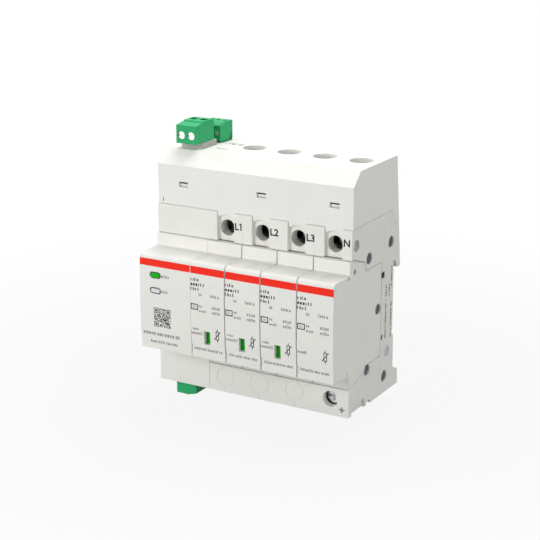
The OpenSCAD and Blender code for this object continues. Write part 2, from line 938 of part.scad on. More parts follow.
module bus_plug_screws() {
    translate([plug_x, -bus_d, -base_low])
        rotate([180, 0, 0])
            for (i = [-1:1])
                translate([i * signal_pitch, signal_front + screw_sink, signal_screw_z])
                    small_screw(signal_head_r);
}

// Whole case of a cartridge with the cell inside it
module cartridge_case(has_window) {
    inner_x = case_w / 2 - case_wall;
    difference() {
        draw_x(-case_w / 2, case_w / 2, cartridge_outline);
        span([-inner_x, inner_x], [-cell_front, -cell_back], [-cell_low, cell_top]);
        for (z = [blade_top_z, blade_low_z])
            span([-blade_t / 2 - seam, blade_t / 2 + seam], [-cell_back - bite, -bay_d + bite],
                [z - blade_h / 2 - seam, z + blade_h / 2 + seam]);
        if (has_window)
            span([window_x, window_x + window_w], [-far, -cell_front + bite],
                [window_z, window_z + window_h]);
        bar_x(rivet_bore_r, -far, far, case_rivet);
        bar_x(rivet_well_r, case_w / 2 - rivet_well, far, case_rivet);
        bar_x(rivet_well_r, -far, -case_w / 2 + rivet_well, case_rivet);
        bar_x(1.2, case_w / 2 - 1.6, far, pin_well);
        grip(nose_top, 0);
        scale([1, 1, -1])
            grip(nose_low, nose_drop / (nose_d - strip_step - shoulder_d));
    }
}

// Saw-tooth grip across one face of the nose, in a left and a right field, with a slot behind it
module grip(height, slope) {
    for (field = [grip_left, grip_right])
        for (i = [1:4]) {
            y = -grip_slot_d - i * tooth_pitch;
            z = height + slope * (y + nose_d - strip_step);
            draw_x(field[0] - half_w, field[1] - half_w, [
                [y, z - tooth[1]],
                [y + tooth[0], z + slope * tooth[0]],
                [y + tooth[0], z + bite],
                [y, z + bite]
            ]);
        }
    span([grip_right[0] - half_w, far], [-grip_slot_d - grip_slot[0] / 2, -grip_slot_d + grip_slot[0] / 2],
        [height + slope * (nose_d - strip_step - grip_slot_d) - grip_slot[1], height + nose_drop]);
}

module cartridge_left(k) {
    color([0.88, 0.88, 0.85])
        translate([pole_x(k), 0, 0])
            intersection() {
                cartridge_case(k < poles);
                span([-far, parting_x], [-far, far], [-far, far]);
            }
}

module cartridge_right(k) {
    color([0.88, 0.88, 0.85])
        translate([pole_x(k), 0, 0])
            intersection() {
                cartridge_case(k < poles);
                span([parting_x, far], [-far, far], [-far, far]);
            }
}

// Square disc of a varistor, beside the blades
module varistor(k) {
    r = 3;
    h = cell_size / 2 - r;
    centre = [-cell_d, cell_z];
    points = [for (q = [0:3]) each arc(
        [centre[0] + h * sign(cos(45 + 90 * q)), centre[1] + h * sign(sin(45 + 90 * q))],
        r, 90 * q, 90 * q + 90, 5)];
    color([0.16, 0.28, 0.55])
        translate([pole_x(k), 0, 0])
            draw_x(blade_t / 2, blade_t / 2 + cell_t, points);
}

// Round spark gap of the neutral pole, with its two metal end discs
module spark_gap() {
    place = [-cell_d, cell_z];
    r = cell_size / 2 - 1.5;
    disc_t = 1.2;
    x0 = blade_t / 2;
    x1 = x0 + cell_t;
    color([0.85, 0.83, 0.78])
        translate([pole_x(poles), 0, 0]) {
            bar_x(r - 1, x0, x0 + disc_t, place);
            bar_x(r, x0 + disc_t, x1 - disc_t, place);
            bar_x(r - 1, x1 - disc_t, x1, place);
        }
}

// Two plug-in blades that clasp the cell, and the rivet of the case
module cartridge_contacts(k) {
    arm_back = cell_back + 2;
    arm_front = arm_back + 5;
    seat = case_w / 2 - rivet_well;
    color([0.72, 0.72, 0.7])
        translate([pole_x(k), 0, 0]) {
            for (z = [blade_top_z, blade_low_z]) {
                span([-blade_t / 2, blade_t / 2], [-arm_front, -blade_tip_d - 0.8],
                    [z - blade_h / 2, z + blade_h / 2]);
                span([-blade_t / 2, blade_t / 2], [-arm_front, -blade_tip_d],
                    [z - blade_h / 2 + 0.6, z + blade_h / 2 - 0.6]);
                span([-blade_t / 2, blade_t / 2], [-arm_front, -arm_back],
                    z > 0 ? [cell_z + 3, z] : [z, cell_z - 3]);
            }
            bar_x(rivet_r, -seat, seat, case_rivet);
            bar_x(rivet_head_r, seat, seat + rivet_head_l, case_rivet);
            bar_x(rivet_head_r, -seat - rivet_head_l, -seat, case_rivet);
        }
}

// Sliding flag behind the window: its right half shows at rest, and its left half once released
module flag(k) {
    y0 = -cell_front;
    x1 = window_x + window_w + slide_gap;
    arm_back = -flag_arm_d;
    color([0, 0.5, 0.1])
        translate([pole_x(k), 0, 0]) {
            span([window_x - flag_travel - slide_gap, x1], [y0, y0 + flag_t],
                [window_z - flag_lap, window_z + window_h + flag_lap]);
            span([x1 - 1.2, x1], [y0, arm_back], [window_z + 2, window_z + 3.6]);
            span([x1 - 1.2, x1], [arm_back - flag_t, arm_back], [window_z + 2, window_z + window_h]);
        }
}

// Strip from a line clamp to the upper fork of its pole
module line_contact(k) {
    half = strip_w / 2;
    pad_z = blade_top_z + blade_h / 2 + pad_gap;
    color([0.75, 0.55, 0.3])
        translate([pole_x(k), 0, 0]) {
            span([-half, half], [-line_bearing_d, -line_strip_d], [line_strip_z, line_room_top]);
            span([-half, half], [-line_bearing_d, -drop_d], [line_strip_z, line_strip_z + strip_t]);
            span([-half, half], [-drop_d - strip_t, -drop_d], [pad_z, line_strip_z + strip_t]);
            fork(blade_top_z, pad_z, pad_z + strip_t);
        }
}

// Two sprung leaves with a gap for a blade, hung from a pad between two heights
module fork(z, pad_0, pad_1) {
    inner = blade_t / 2 + fork_fit;
    span([-strip_w / 2, strip_w / 2], [-drop_d - strip_t, -fork_back],
        [min(pad_0, pad_1), max(pad_0, pad_1)]);
    for (side = [-1, 1])
        scale([side, 1, 1])
            span([inner, inner + fork_t], [-fork_front + slide_gap, -fork_back],
                z > 0 ? [z - blade_h / 2, pad_0 + strip_t / 2] : [pad_0 - strip_t / 2, z + blade_h / 2]);
}

// Earth bar: one fork for each pole, a bar through all bases and the strip of the earth clamp
module earth_bar() {
    half = strip_w / 2;
    pad_z = blade_low_z - blade_h / 2 - pad_gap;
    x_end = pole_x(poles) + half;
    color([0.75, 0.55, 0.3]) {
        span([pole_x(1) - half, x_end], [-drop_d - strip_t, -drop_d], [earth_bar_low, -bay_low]);
        for (k = [1:poles])
            translate([pole_x(k), 0, 0]) {
                span([-half, half], [-drop_d - strip_t, -drop_d], [-bay_low - bite, pad_z]);
                fork(blade_low_z, pad_z, pad_z - strip_t);
            }
        span([x_end - strip_w, x_end], [-earth_bearing_d, -drop_d], [earth_bar_low, earth_strip_z]);
        span([x_end - strip_w, x_end], [-earth_bearing_d, -earth_strip_d], [-earth_room_low, earth_strip_z]);
    }
}

// Cage of a clamp: its front face is at the origin, and a conductor enters along Z
module clamp(gap, h) {
    inner = clamp_w / 2 - clamp_t;
    room = tip_fit + strip_t + gap;
    long = nut_t + room + clamp_back_t;
    color([0.78, 0.78, 0.76])
        difference() {
            span([-clamp_w / 2, clamp_w / 2], [0, long], [-h / 2, h / 2]);
            span([-inner, inner], [nut_t, nut_t + room], [-far, far]);
            bar_y(screw_r + 0.05, -bite, nut_t + bite, 0, 0);
            for (z = [-3, -1, 1, 3])
                translate([0, nut_t + room, z])
                    rotate([45, 0, 0])
                        cube([2 * inner, 0.5, 0.5], center = true);
        }
}

module line_clamp(k) {
    translate([pole_x(k), -line_clamp_d, line_z])
        clamp(line_gap, clamp_h);
}

module earth_clamp() {
    translate([pole_x(poles), -earth_clamp_d, -earth_z])
        clamp(earth_gap, earth_clamp_h);
}

// Clamping screw along +Y with a slot crossed by a shorter one, its head's face at the origin
module clamp_screw(long) {
    color([0.8, 0.81, 0.82])
        difference() {
            union() {
                bar_y(head_r, 0, head_l, 0, 0);
                bar_y(screw_r, head_l - bite, long, 0, 0);
            }
            span([-far, far], [-bite, 1.3], [-0.5, 0.5]);
            span([-0.5, 0.5], [-bite, 1.3], [-head_r * 0.65, head_r * 0.65]);
            bar_y(1.1, -bite, 1.6, 0, 0);
        }
}

module line_screw(k) {
    translate([pole_x(k), -line_head_d, line_z])
        clamp_screw(line_head_d - line_bearing_d);
}

module earth_screw() {
    translate([pole_x(poles), -earth_head_d, -earth_z])
        clamp_screw(earth_head_d - earth_bearing_d);
}

// Clip that hooks behind the rail's lower lip, with an eye for a screwdriver
module rail_clip(x) {
    half = clip_w / 2;
    nose = rail_t + lip_gap;
    color([0.8, 0.8, 0.78])
        translate([x, 0, 0])
            difference() {
                union() {
                    span([-half, half], [clip_front, clip_front + clip_t], [-base_low + slide_gap, clip_top]);
                    draw_x(-half, half, [
                        [clip_front, clip_top],
                        [clip_front, clip_top - clip_head_h],
                        [clip_nose_back - 1, clip_top - clip_head_h],
                        [clip_nose_back, clip_top - clip_head_h + 1],
                        [clip_nose_back, clip_nose_top - 1.2],
                        [nose + 0.3, clip_nose_top],
                        [nose, clip_nose_top],
                        [nose, clip_top]
                    ]);
                }
                span([-2.5, 2.5], [-far, far], [-base_low + 2, -base_low + 3.8]);
            }
}

monitor_base();
monitor_front();
pole_base(1);  // pole_base_1
pole_base(2);  // pole_base_2
pole_base(3);  // pole_base_3
pole_base(4);  // pole_base_4
bottom_cover();
top_cover();
rivets();
circuit_board();
power_light();
bus_light();
supply_header();
relay_header();
bus_header();
supply_plug();
relay_plug();
bus_plug();
supply_screw(1);  // supply_screw_1
supply_screw(2);  // supply_screw_2
relay_screw(1);  // relay_screw_1
relay_screw(2);  // relay_screw_2
relay_screw(3);  // relay_screw_3
bus_plug_screws();
cartridge_left(1);  // cartridge_left_1
cartridge_left(2);  // cartridge_left_2
cartridge_left(3);  // cartridge_left_3
cartridge_left(4);  // cartridge_left_4
cartridge_right(1);  // cartridge_right_1
cartridge_right(2);  // cartridge_right_2
cartridge_right(3);  // cartridge_right_3
cartridge_right(4);  // cartridge_right_4
varistor(1);  // varistor_1
varistor(2);  // varistor_2
varistor(3);  // varistor_3
spark_gap();
cartridge_contacts(1);  // cartridge_contacts_1
cartridge_contacts(2);  // cartridge_contacts_2
cartridge_contacts(3);  // cartridge_contacts_3
cartridge_contacts(4);  // cartridge_contacts_4
flag(1);  // flag_1
flag(2);  // flag_2
flag(3);  // flag_3
line_contact(1);  // line_contact_1
line_contact(2);  // line_contact_2
line_contact(3);  // line_contact_3
line_contact(4);  // line_contact_4
line_clamp(1);  // line_clamp_1
line_clamp(2);  // line_clamp_2
line_clamp(3);  // line_clamp_3
line_clamp(4);  // line_clamp_4
line_screw(1);  // line_screw_1
line_screw(2);  // line_screw_2
line_screw(3);  // line_screw_3
line_screw(4);  // line_screw_4
earth_bar();
earth_clamp();
earth_screw();
rail_clip(monitor_x);  // rail_clip_left
rail_clip(pole_x(poles));  // rail_clip_right
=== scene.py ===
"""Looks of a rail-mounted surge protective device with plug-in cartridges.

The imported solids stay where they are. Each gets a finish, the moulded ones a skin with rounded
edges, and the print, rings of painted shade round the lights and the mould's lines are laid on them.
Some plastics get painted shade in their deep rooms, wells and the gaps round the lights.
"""

import json
import logging
import math
import random
from collections.abc import Callable
from dataclasses import dataclass, field
from enum import Enum
from typing import ClassVar, NamedTuple

import bmesh
import bpy
from mathutils import Matrix, Vector

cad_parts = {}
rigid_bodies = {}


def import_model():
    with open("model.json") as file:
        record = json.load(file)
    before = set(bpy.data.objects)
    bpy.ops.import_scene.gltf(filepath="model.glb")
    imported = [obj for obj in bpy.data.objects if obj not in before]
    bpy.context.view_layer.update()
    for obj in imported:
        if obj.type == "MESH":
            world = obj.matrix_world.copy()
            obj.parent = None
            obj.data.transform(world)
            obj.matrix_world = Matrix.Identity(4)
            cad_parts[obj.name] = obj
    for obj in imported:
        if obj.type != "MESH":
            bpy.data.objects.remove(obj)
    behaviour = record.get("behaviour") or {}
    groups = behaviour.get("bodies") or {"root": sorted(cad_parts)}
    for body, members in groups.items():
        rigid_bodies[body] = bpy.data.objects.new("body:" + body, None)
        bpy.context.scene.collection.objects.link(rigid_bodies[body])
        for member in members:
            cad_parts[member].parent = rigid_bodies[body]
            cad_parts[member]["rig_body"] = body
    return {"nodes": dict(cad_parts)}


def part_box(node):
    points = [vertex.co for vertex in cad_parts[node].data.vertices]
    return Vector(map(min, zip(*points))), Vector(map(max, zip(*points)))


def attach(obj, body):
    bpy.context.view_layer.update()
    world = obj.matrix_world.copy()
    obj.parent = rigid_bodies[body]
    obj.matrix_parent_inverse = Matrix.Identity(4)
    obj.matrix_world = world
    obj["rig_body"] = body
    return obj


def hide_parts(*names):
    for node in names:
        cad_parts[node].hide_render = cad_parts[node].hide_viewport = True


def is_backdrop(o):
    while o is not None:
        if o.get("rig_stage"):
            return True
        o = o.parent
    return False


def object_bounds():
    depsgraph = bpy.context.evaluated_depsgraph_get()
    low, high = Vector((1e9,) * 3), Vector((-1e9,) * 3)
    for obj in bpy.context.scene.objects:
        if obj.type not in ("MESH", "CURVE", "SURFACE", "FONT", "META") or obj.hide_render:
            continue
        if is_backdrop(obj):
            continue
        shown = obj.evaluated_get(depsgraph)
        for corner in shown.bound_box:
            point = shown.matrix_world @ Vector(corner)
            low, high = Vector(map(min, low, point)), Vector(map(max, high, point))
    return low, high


LOG = logging.getLogger("surge_device")

MM = 0.001
Socket = bpy.types.NodeSocket
Edge = bmesh.types.BMEdge
Triple = tuple[float, float, float]
Space = tuple[Triple, Triple]
# Left, right, low and high edge of a mark
Rect = tuple[float, float, float, float]
# Depth, low end, high end and bars' length of a column of bars
Column = tuple[float, float, float, float]
# Depth and height of a stroke's first end, then of its second
Stroke = tuple[float, float, float, float]

# The row's main places and sizes in millimetres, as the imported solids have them
LEFT_SIDE = -48.95
RIGHT_SIDE = 48.95
COVER_TOP = 65.3
FIRST_POLE = -22.25
POLE_PITCH = 17.8
POLES = 4

# A Mix node's sockets for colours, by number, because those for values have the same names
MIX_SHARE, MIX_FIRST, MIX_SECOND, MIX_RESULT = 0, 6, 7, 2


class Side(Enum):
    """The faces of the housing that carry print, by the way they look."""

    FRONT = "front"
    RIGHT = "right"
    TOP = "top"


class Line(NamedTuple):
    """A line of print.

    Attributes:
        rect: Its left, right, low and high edges, in millimetres.
        seed: The seed of its marks.
        stroke: The width of a bar as a share of the line's height.
    """

    rect: Rect
    seed: int
    stroke: float = 0.2


class Graph:
    """A material's node tree, with short calls for the nodes that the finishes share."""

    # The values between which nearly all of a noise lies
    NOISE_LOW: ClassVar[float] = 0.3
    NOISE_HIGH: ClassVar[float] = 0.7

    def __init__(self, name: str) -> None:
        """Start a material with a Principled shader.

        Args:
            name: The material's name.
        """
        self.material = bpy.data.materials.new(name)
        self.material.use_nodes = True
        self.tree = self.material.node_tree
        self.tree.nodes.clear()
        self.shader = self.tree.nodes.new("ShaderNodeBsdfPrincipled")
        self.output = self.tree.nodes.new("ShaderNodeOutputMaterial")
        self.link(self.shader.outputs["BSDF"], self.output.inputs["Surface"])
        self.object_place = self.tree.nodes.new("ShaderNodeTexCoord").outputs["Object"]

    def link(self, source: Socket, target: Socket) -> None:
        """Link two sockets."""
        self.tree.links.new(source, target)

    def stretched(self, scale: Triple) -> Socket:
        """Object coordinates scaled along each axis.

        Args:
            scale: The factor along X, Y and Z.

        Returns:
            The socket that holds the scaled place.
        """
        mapping = self.tree.nodes.new("ShaderNodeMapping")
        mapping.inputs["Scale"].default_value = scale
        self.link(self.object_place, mapping.inputs["Vector"])
        return mapping.outputs["Vector"]

    def noise(self, size: float, detail: float = 2.0, place: Socket | None = None) -> Socket:
        """Noise whose features are about one size.

        Args:
            size: The size of a feature, in metres.
            detail: The number of finer layers.
            place: The coordinates to read, or the object's own.

        Returns:
            The socket of the noise's value.
        """
        node = self.tree.nodes.new("ShaderNodeTexNoise")
        node.inputs["Scale"].default_value = 1.0 / size
        node.inputs["Detail"].default_value = detail
        self.link(place or self.object_place, node.inputs["Vector"])
        return node.outputs["Fac"]

    def spread(self, value: Socket, low: float, high: float) -> Socket:
        """Map the middle of a noise, where nearly all of it lies, onto a range.

        Args:
            value: The noise.
            low: The result at the noise's low side.
            high: The result at its high side.

        Returns:
            The socket of the mapped value.
        """
        node = self.tree.nodes.new("ShaderNodeMapRange")
        node.inputs["From Min"].default_value = self.NOISE_LOW
        node.inputs["From Max"].default_value = self.NOISE_HIGH
        node.inputs["To Min"].default_value = low
        node.inputs["To Max"].default_value = high
        self.link(value, node.inputs["Value"])
        return node.outputs["Result"]

    def tint(self, share: Socket, first: Triple, second: Triple) -> Socket:
        """Mix two colours by a value.

        Args:
            share: The share of the second colour, from 0 to 1.
            first: The colour at 0.
            second: The colour at 1.

        Returns:
            The socket of the mixed colour.
        """
        node = self.tree.nodes.new("ShaderNodeMix")
        node.data_type = "RGBA"
        node.inputs[MIX_FIRST].default_value = (*first, 1.0)
        node.inputs[MIX_SECOND].default_value = (*second, 1.0)
        self.link(share, node.inputs[MIX_SHARE])
        return node.outputs[MIX_RESULT]

    def recolour(self, tone: Socket, other: Triple, share: Socket) -> Socket:
        """Mix another colour into a tone.

        Args:
            tone: The tone.
            other: The other colour.
            share: The share of the other colour.

        Returns:
            The socket of the mixed colour.
        """
        node = self.tree.nodes.new("ShaderNodeMix")
        node.data_type = "RGBA"
        node.inputs[MIX_SECOND].default_value = (*other, 1.0)
        self.link(tone, node.inputs[MIX_FIRST])
        self.link(share, node.inputs[MIX_SHARE])
        return node.outputs[MIX_RESULT]

    def calc(self, operation: str, first: Socket, second: Socket | float) -> Socket:
        """Put two values through a Math node.

        Args:
            operation: The node's operation.
            first: The first value.
            second: The second value, a socket or a number.

        Returns:
            The socket of the result.
        """
        node = self.tree.nodes.new("ShaderNodeMath")
        node.operation = operation
        self.link(first, node.inputs[0])
        if isinstance(second, float):
            node.inputs[1].default_value = second
        else:
            self.link(second, node.inputs[1])
        return node.outputs["Value"]

    def within(self, hollow: Space) -> Socket:
        """Tell whether a place lies in a space.

        Args:
            hollow: The space's lowest and highest corner, in metres.

        Returns:
            The socket of 1 inside and 0 outside.
        """
        low, high = Vector(hollow[0]), Vector(hollow[1])
        half = 0.5 * (high - low)
        middle = 0.5 * (high + low)
        mapping = self.tree.nodes.new("ShaderNodeMapping")
        mapping.inputs["Scale"].default_value = [1.0 / reach for reach in half]
        mapping.inputs["Location"].default_value = [-place / reach for place, reach in zip(middle, half)]
        self.link(self.object_place, mapping.inputs["Vector"])
        distance = self.tree.nodes.new("ShaderNodeVectorMath")
        distance.operation = "ABSOLUTE"
        self.link(mapping.outputs["Vector"], distance.inputs[0])
        axes = self.tree.nodes.new("ShaderNodeSeparateXYZ")
        self.link(distance.outputs["Vector"], axes.inputs["Vector"])
        across = self.calc("MAXIMUM", axes.outputs["X"], axes.outputs["Y"])
        return self.calc("LESS_THAN", self.calc("MAXIMUM", across, axes.outputs["Z"]), 1.0)

    def paint(self, tone: Socket) -> None:
        """Give the shader its colour."""
        self.link(tone, self.shader.inputs["Base Color"])

    def bump(self, height: Socket, strength: float, distance: float) -> None:
        """Drive the shader's normal by a height.

        Args:
            height: The height's socket.
            strength: The strength of the bump.
            distance: The height of a full step, in metres.
        """
        node = self.tree.nodes.new("ShaderNodeBump")
        node.inputs["Strength"].default_value = strength
        node.inputs["Distance"].default_value = distance
        self.link(height, node.inputs["Height"])
        self.link(node.outputs["Normal"], self.shader.inputs["Normal"])


def shade(colour: Triple, factor: float) -> Triple:
    """A colour made lighter or darker by a factor."""
    return tuple(min(1.0, channel * factor) for channel in colour)


def space(low: Triple, high: Triple) -> Space:
    """A space in metres, from its lowest and highest corner in millimetres."""
    return tuple(place * MM for place in low), tuple(place * MM for place in high)


def side_well(face: float, y: float, z: float, radius: float, depth: float) -> Space:
    """The space of a round blind well in a right side.

    Args:
        face: The side's place, in millimetres.
        y: The depth of the well's middle, in millimetres.
        z: The height of its middle.
        radius: Its radius.
        depth: How far it reaches into the side.

    Returns:
        The space from just below the well's edge to just behind its floor, in metres.
    """
    lip, spare = 0.04, 0.1
    reach = radius + spare
    return space((face - depth - spare, y - reach, z - reach), (face - lip, y + reach, z + reach))


def seen_directly(tree: bpy.types.NodeTree, low: float, high: float) -> Socket:
    """Tell rays of the camera, of mirrors and of glass from those that light the object.

    Args:
        tree: The node tree that gets the nodes.
        low: The value for a ray that lights the object.
        high: The value for a ray that is seen.

    Returns:
        The socket of the value.
    """
    path = tree.nodes.new("ShaderNodeLightPath")
    either = tree.nodes.new("ShaderNodeMath")
    either.operation = "MAXIMUM"
    tree.links.new(path.outputs["Is Glossy Ray"], either.inputs[0])
    tree.links.new(path.outputs["Is Transmission Ray"], either.inputs[1])
    seen = tree.nodes.new("ShaderNodeMath")
    seen.operation = "MAXIMUM"
    tree.links.new(path.outputs["Is Camera Ray"], seen.inputs[0])
    tree.links.new(either.outputs[0], seen.inputs[1])
    value = tree.nodes.new("ShaderNodeMapRange")
    value.inputs["To Min"].default_value = low
    value.inputs["To Max"].default_value = high
    tree.links.new(seen.outputs[0], value.inputs["Value"])
    return value.outputs["Result"]


@dataclass(frozen=True)
class Finish:
    """What every finish has.

    Attributes:
        name: The material's name.
        colour: The base colour, linear.
        roughness: The middle of the roughness.
        gloss: The specular level.
    """

    # The darkest and lightest tone as shares of the colour, and how far the roughness strays from its middle
    TONES: ClassVar[tuple[float, float]] = (1.0, 1.0)
    STRAY: ClassVar[tuple[float, float]] = (0.0, 0.0)

    name: str
    colour: Triple
    roughness: float
    gloss: float = field(default=0.5, kw_only=True)

    def material(self) -> bpy.types.Material:
        """The finish's material, made at its first use."""
        known = bpy.data.materials.get(self.name)
        return known or self.build()

    def graph(self) -> Graph:
        """Start the material's node tree.

        Returns:
            A tree whose shader has the finish's gloss.
        """
        graph = Graph(self.name)
        graph.shader.inputs["Specular IOR Level"].default_value = self.gloss
        return graph

    def build(self) -> bpy.types.Material:
        """Make the material, in the way of each kind of finish."""
        raise NotImplementedError

    def mottled(self, graph: Graph, noise: Socket) -> Socket:
        """The colour with the changes of tone that a noise gives it.

        Args:
            graph: The material's node tree.
            noise: The noise.

        Returns:
            The socket of the colour.
        """
        darkest, lightest = self.TONES
        share = graph.spread(noise, 0.0, 1.0)
        return graph.tint(share, shade(self.colour, darkest), shade(self.colour, lightest))

    def roughen(self, graph: Graph, noise: Socket) -> None:
        """Let a noise drive the roughness.

        Args:
            graph: The material's node tree.
            noise: The noise.
        """
        less, more = self.STRAY
        rough = graph.spread(noise, self.roughness + less, self.roughness + more)
        graph.link(rough, graph.shader.inputs["Roughness"])


@dataclass(frozen=True)
class MouldedPlastic(Finish):
    """Moulded plastic with a spark-eroded grain and slow changes of tone.

    Attributes:
        grain: The size of the grain, in metres.
        relief: The strength of the grain's bump.
        mottle: The share by which the tone changes.
    """

    STRAY: ClassVar[tuple[float, float]] = (-0.05, 0.06)
    GRAIN_HEIGHT: ClassVar[float] = 0.02 * MM
    SHINE_PATCH: ClassVar[float] = 3 * MM
    TONE_PATCH: ClassVar[float] = 12 * MM

    grain: float = 0.22 * MM
    relief: float = 0.22
    mottle: float = 0.018

    def build(self) -> bpy.types.Material:
        """Make the plastic's material.

        Returns:
            The material.
        """
        graph = self.graph()
        graph.paint(self.tone(graph))
        self.roughen(graph, graph.noise(self.SHINE_PATCH))
        graph.bump(graph.noise(self.grain, 3.0), self.relief, self.GRAIN_HEIGHT)
        return graph.material

    def tone(self, graph: Graph) -> Socket:
        """The plastic's colour with its slow changes."""
        slow = graph.spread(graph.noise(self.TONE_PATCH, 3.0), 0.0, 1.0)
        return graph.tint(slow, shade(self.colour, 1 - self.mottle), shade(self.colour, 1 + self.mottle))


@dataclass(frozen=True)
class PaintedShadePlastic(MouldedPlastic):
    """Moulded plastic with painted shade in its deep rooms and blind wells, which come out darker than its
    outside.

    Attributes:
        rooms: The spaces that hold deep rooms, where shade is painted.
        inside: The colour of the painted shade in the rooms.
        wells: The spaces of the blind wells, where shade is painted.
        well_shade: The colour of the painted shade in the wells.
    """

    # Painted shade: near black in the deep rooms, mid grey in the blind wells
    rooms: tuple[Space, ...] = ()
    inside: Triple = (0.02, 0.02, 0.02)
    wells: tuple[Space, ...] = ()
    well_shade: Triple = (0.66, 0.66, 0.67)

    def tone(self, graph: Graph) -> Socket:
        """The plastic's colour, with painted shade in the rooms and wells.

        Args:
            graph: The material's node tree.

        Returns:
            The socket of the colour.
        """
        tone = MouldedPlastic.tone(self, graph)
        # Paint shade into the rooms and into the wells
        for spaces, colour in ((self.rooms, self.inside), (self.wells, self.well_shade)):
            for hollow in spaces:
                tone = graph.recolour(tone, colour, graph.within(hollow))
        return tone


@dataclass(frozen=True)
class DrawnMetal(Finish):
    """Bare or plated metal with fine marks along one direction.

    Attributes:
        along: The stretch of the marks along X, Y and Z.
        metal: The share of bare metal; the rest is a pale plating that scatters light.
        riveted: The space that holds a rivet of dark steel, if any.
    """

    TONES: ClassVar[tuple[float, float]] = (0.88, 1.06)
    STRAY: ClassVar[tuple[float, float]] = (-0.08, 0.12)
    STREAK: ClassVar[float] = 0.18 * MM
    STREAK_HEIGHT: ClassVar[float] = 0.01 * MM
    STREAK_RELIEF: ClassVar[float] = 0.3
    TONE_PATCH: ClassVar[float] = 2 * MM
    RIVET_STEEL: ClassVar[Triple] = (0.10, 0.115, 0.14)

    along: Triple = (1.0, 0.08, 1.0)
    metal: float = 1.0
    riveted: Space | None = None

    def build(self) -> bpy.types.Material:
        """Make the metal's material.

        Returns:
            The material.
        """
        graph = self.graph()
        graph.shader.inputs["Metallic"].default_value = self.metal
        streak = graph.noise(self.STREAK, 3.0, graph.stretched(self.along))
        tone = self.mottled(graph, graph.noise(self.TONE_PATCH, 4.0))
        if self.riveted:
            tone = graph.recolour(tone, self.RIVET_STEEL, graph.within(self.riveted))
        graph.paint(tone)
        self.roughen(graph, streak)
        graph.bump(streak, self.STREAK_RELIEF, self.STREAK_HEIGHT)
        return graph.material


@dataclass(frozen=True)
class Lens(Finish):
    """The frosted end of a light guide."""

    TONES: ClassVar[tuple[float, float]] = (0.9, 1.1)
    STRAY: ClassVar[tuple[float, float]] = (0.0, 0.1)
    TONE_PATCH: ClassVar[float] = 1.5 * MM
    SHINE_PATCH: ClassVar[float] = 0.8 * MM
    FROST: ClassVar[float] = 0.6 * MM
    FROST_HEIGHT: ClassVar[float] = 0.02 * MM
    FROST_RELIEF: ClassVar[float] = 0.15

    def build(self) -> bpy.types.Material:
        """Make the lens's material.

        Returns:
            The material.
        """
        graph = self.graph()
        graph.paint(self.mottled(graph, graph.noise(self.TONE_PATCH)))
        self.roughen(graph, graph.noise(self.SHINE_PATCH))
        graph.bump(graph.noise(self.FROST), self.FROST_RELIEF, self.FROST_HEIGHT)
        return graph.material


@dataclass(frozen=True)
class Ink(Finish):
    """Laser or pad print, a little uneven in its cover."""

    TONES: ClassVar[tuple[float, float]] = (0.94, 1.08)
    STRAY: ClassVar[tuple[float, float]] = (-0.04, 0.05)
    COVER_PATCH: ClassVar[float] = 0.4 * MM
    SHINE_PATCH: ClassVar[float] = 1 * MM

    def build(self) -> bpy.types.Material:
        """Make the print's material.

        Returns:
            The material.
        """
        graph = self.graph()
        graph.paint(self.mottled(graph, graph.noise(self.COVER_PATCH, 3.0)))
        self.roughen(graph, graph.noise(self.SHINE_PATCH))
        return graph.material


@dataclass(frozen=True)
class TwoFieldPlastic(Finish):
    """Plastic printed in two fields that meet at a place along X.

    Attributes:
        other: The colour of the field on the left.
        seam: The place where the fields meet, in metres.
    """

    STRAY: ClassVar[tuple[float, float]] = (0.0, 0.08)
    SHINE_PATCH: ClassVar[float] = 1 * MM
    GRAIN: ClassVar[float] = 0.3 * MM
    GRAIN_HEIGHT: ClassVar[float] = 0.01 * MM
    GRAIN_RELIEF: ClassVar[float] = 0.1

    other: Triple = (0.6, 0.02, 0.01)
    seam: float = 0.0

    def build(self) -> bpy.types.Material:
        """Make the two-field material.

        Returns:
            The material.
        """
        graph = self.graph()
        split = graph.tree.nodes.new("ShaderNodeSeparateXYZ")
        graph.link(graph.object_place, split.inputs["Vector"])
        right = graph.calc("GREATER_THAN", split.outputs["X"], self.seam)
        graph.paint(graph.tint(right, self.other, self.colour))
        self.roughen(graph, graph.noise(self.SHINE_PATCH))
        graph.bump(graph.noise(self.GRAIN), self.GRAIN_RELIEF, self.GRAIN_HEIGHT)
        return graph.material


# The deep rooms behind the line screws' holes and the wells in the right side, where shade is painted, and
# the cases' rivets
LINE_ROOMS = space((-22.0, -34.45, 28.6), (47.7, -6.2, 39.6))
BASE_WELL = side_well(RIGHT_SIDE, -5.6, -23.8, 2.7, 0.9)
TOWER_WELL = side_well(RIGHT_SIDE, -37.6, 33.5, 2.7, 2.2)
CASE_WELL = side_well(48.7, -38.4, 22.2, 1.2, 1.6)
CASE_RIVETS = space((-50.0, -17.7, -4.0), (50.0, -12.1, 1.6))

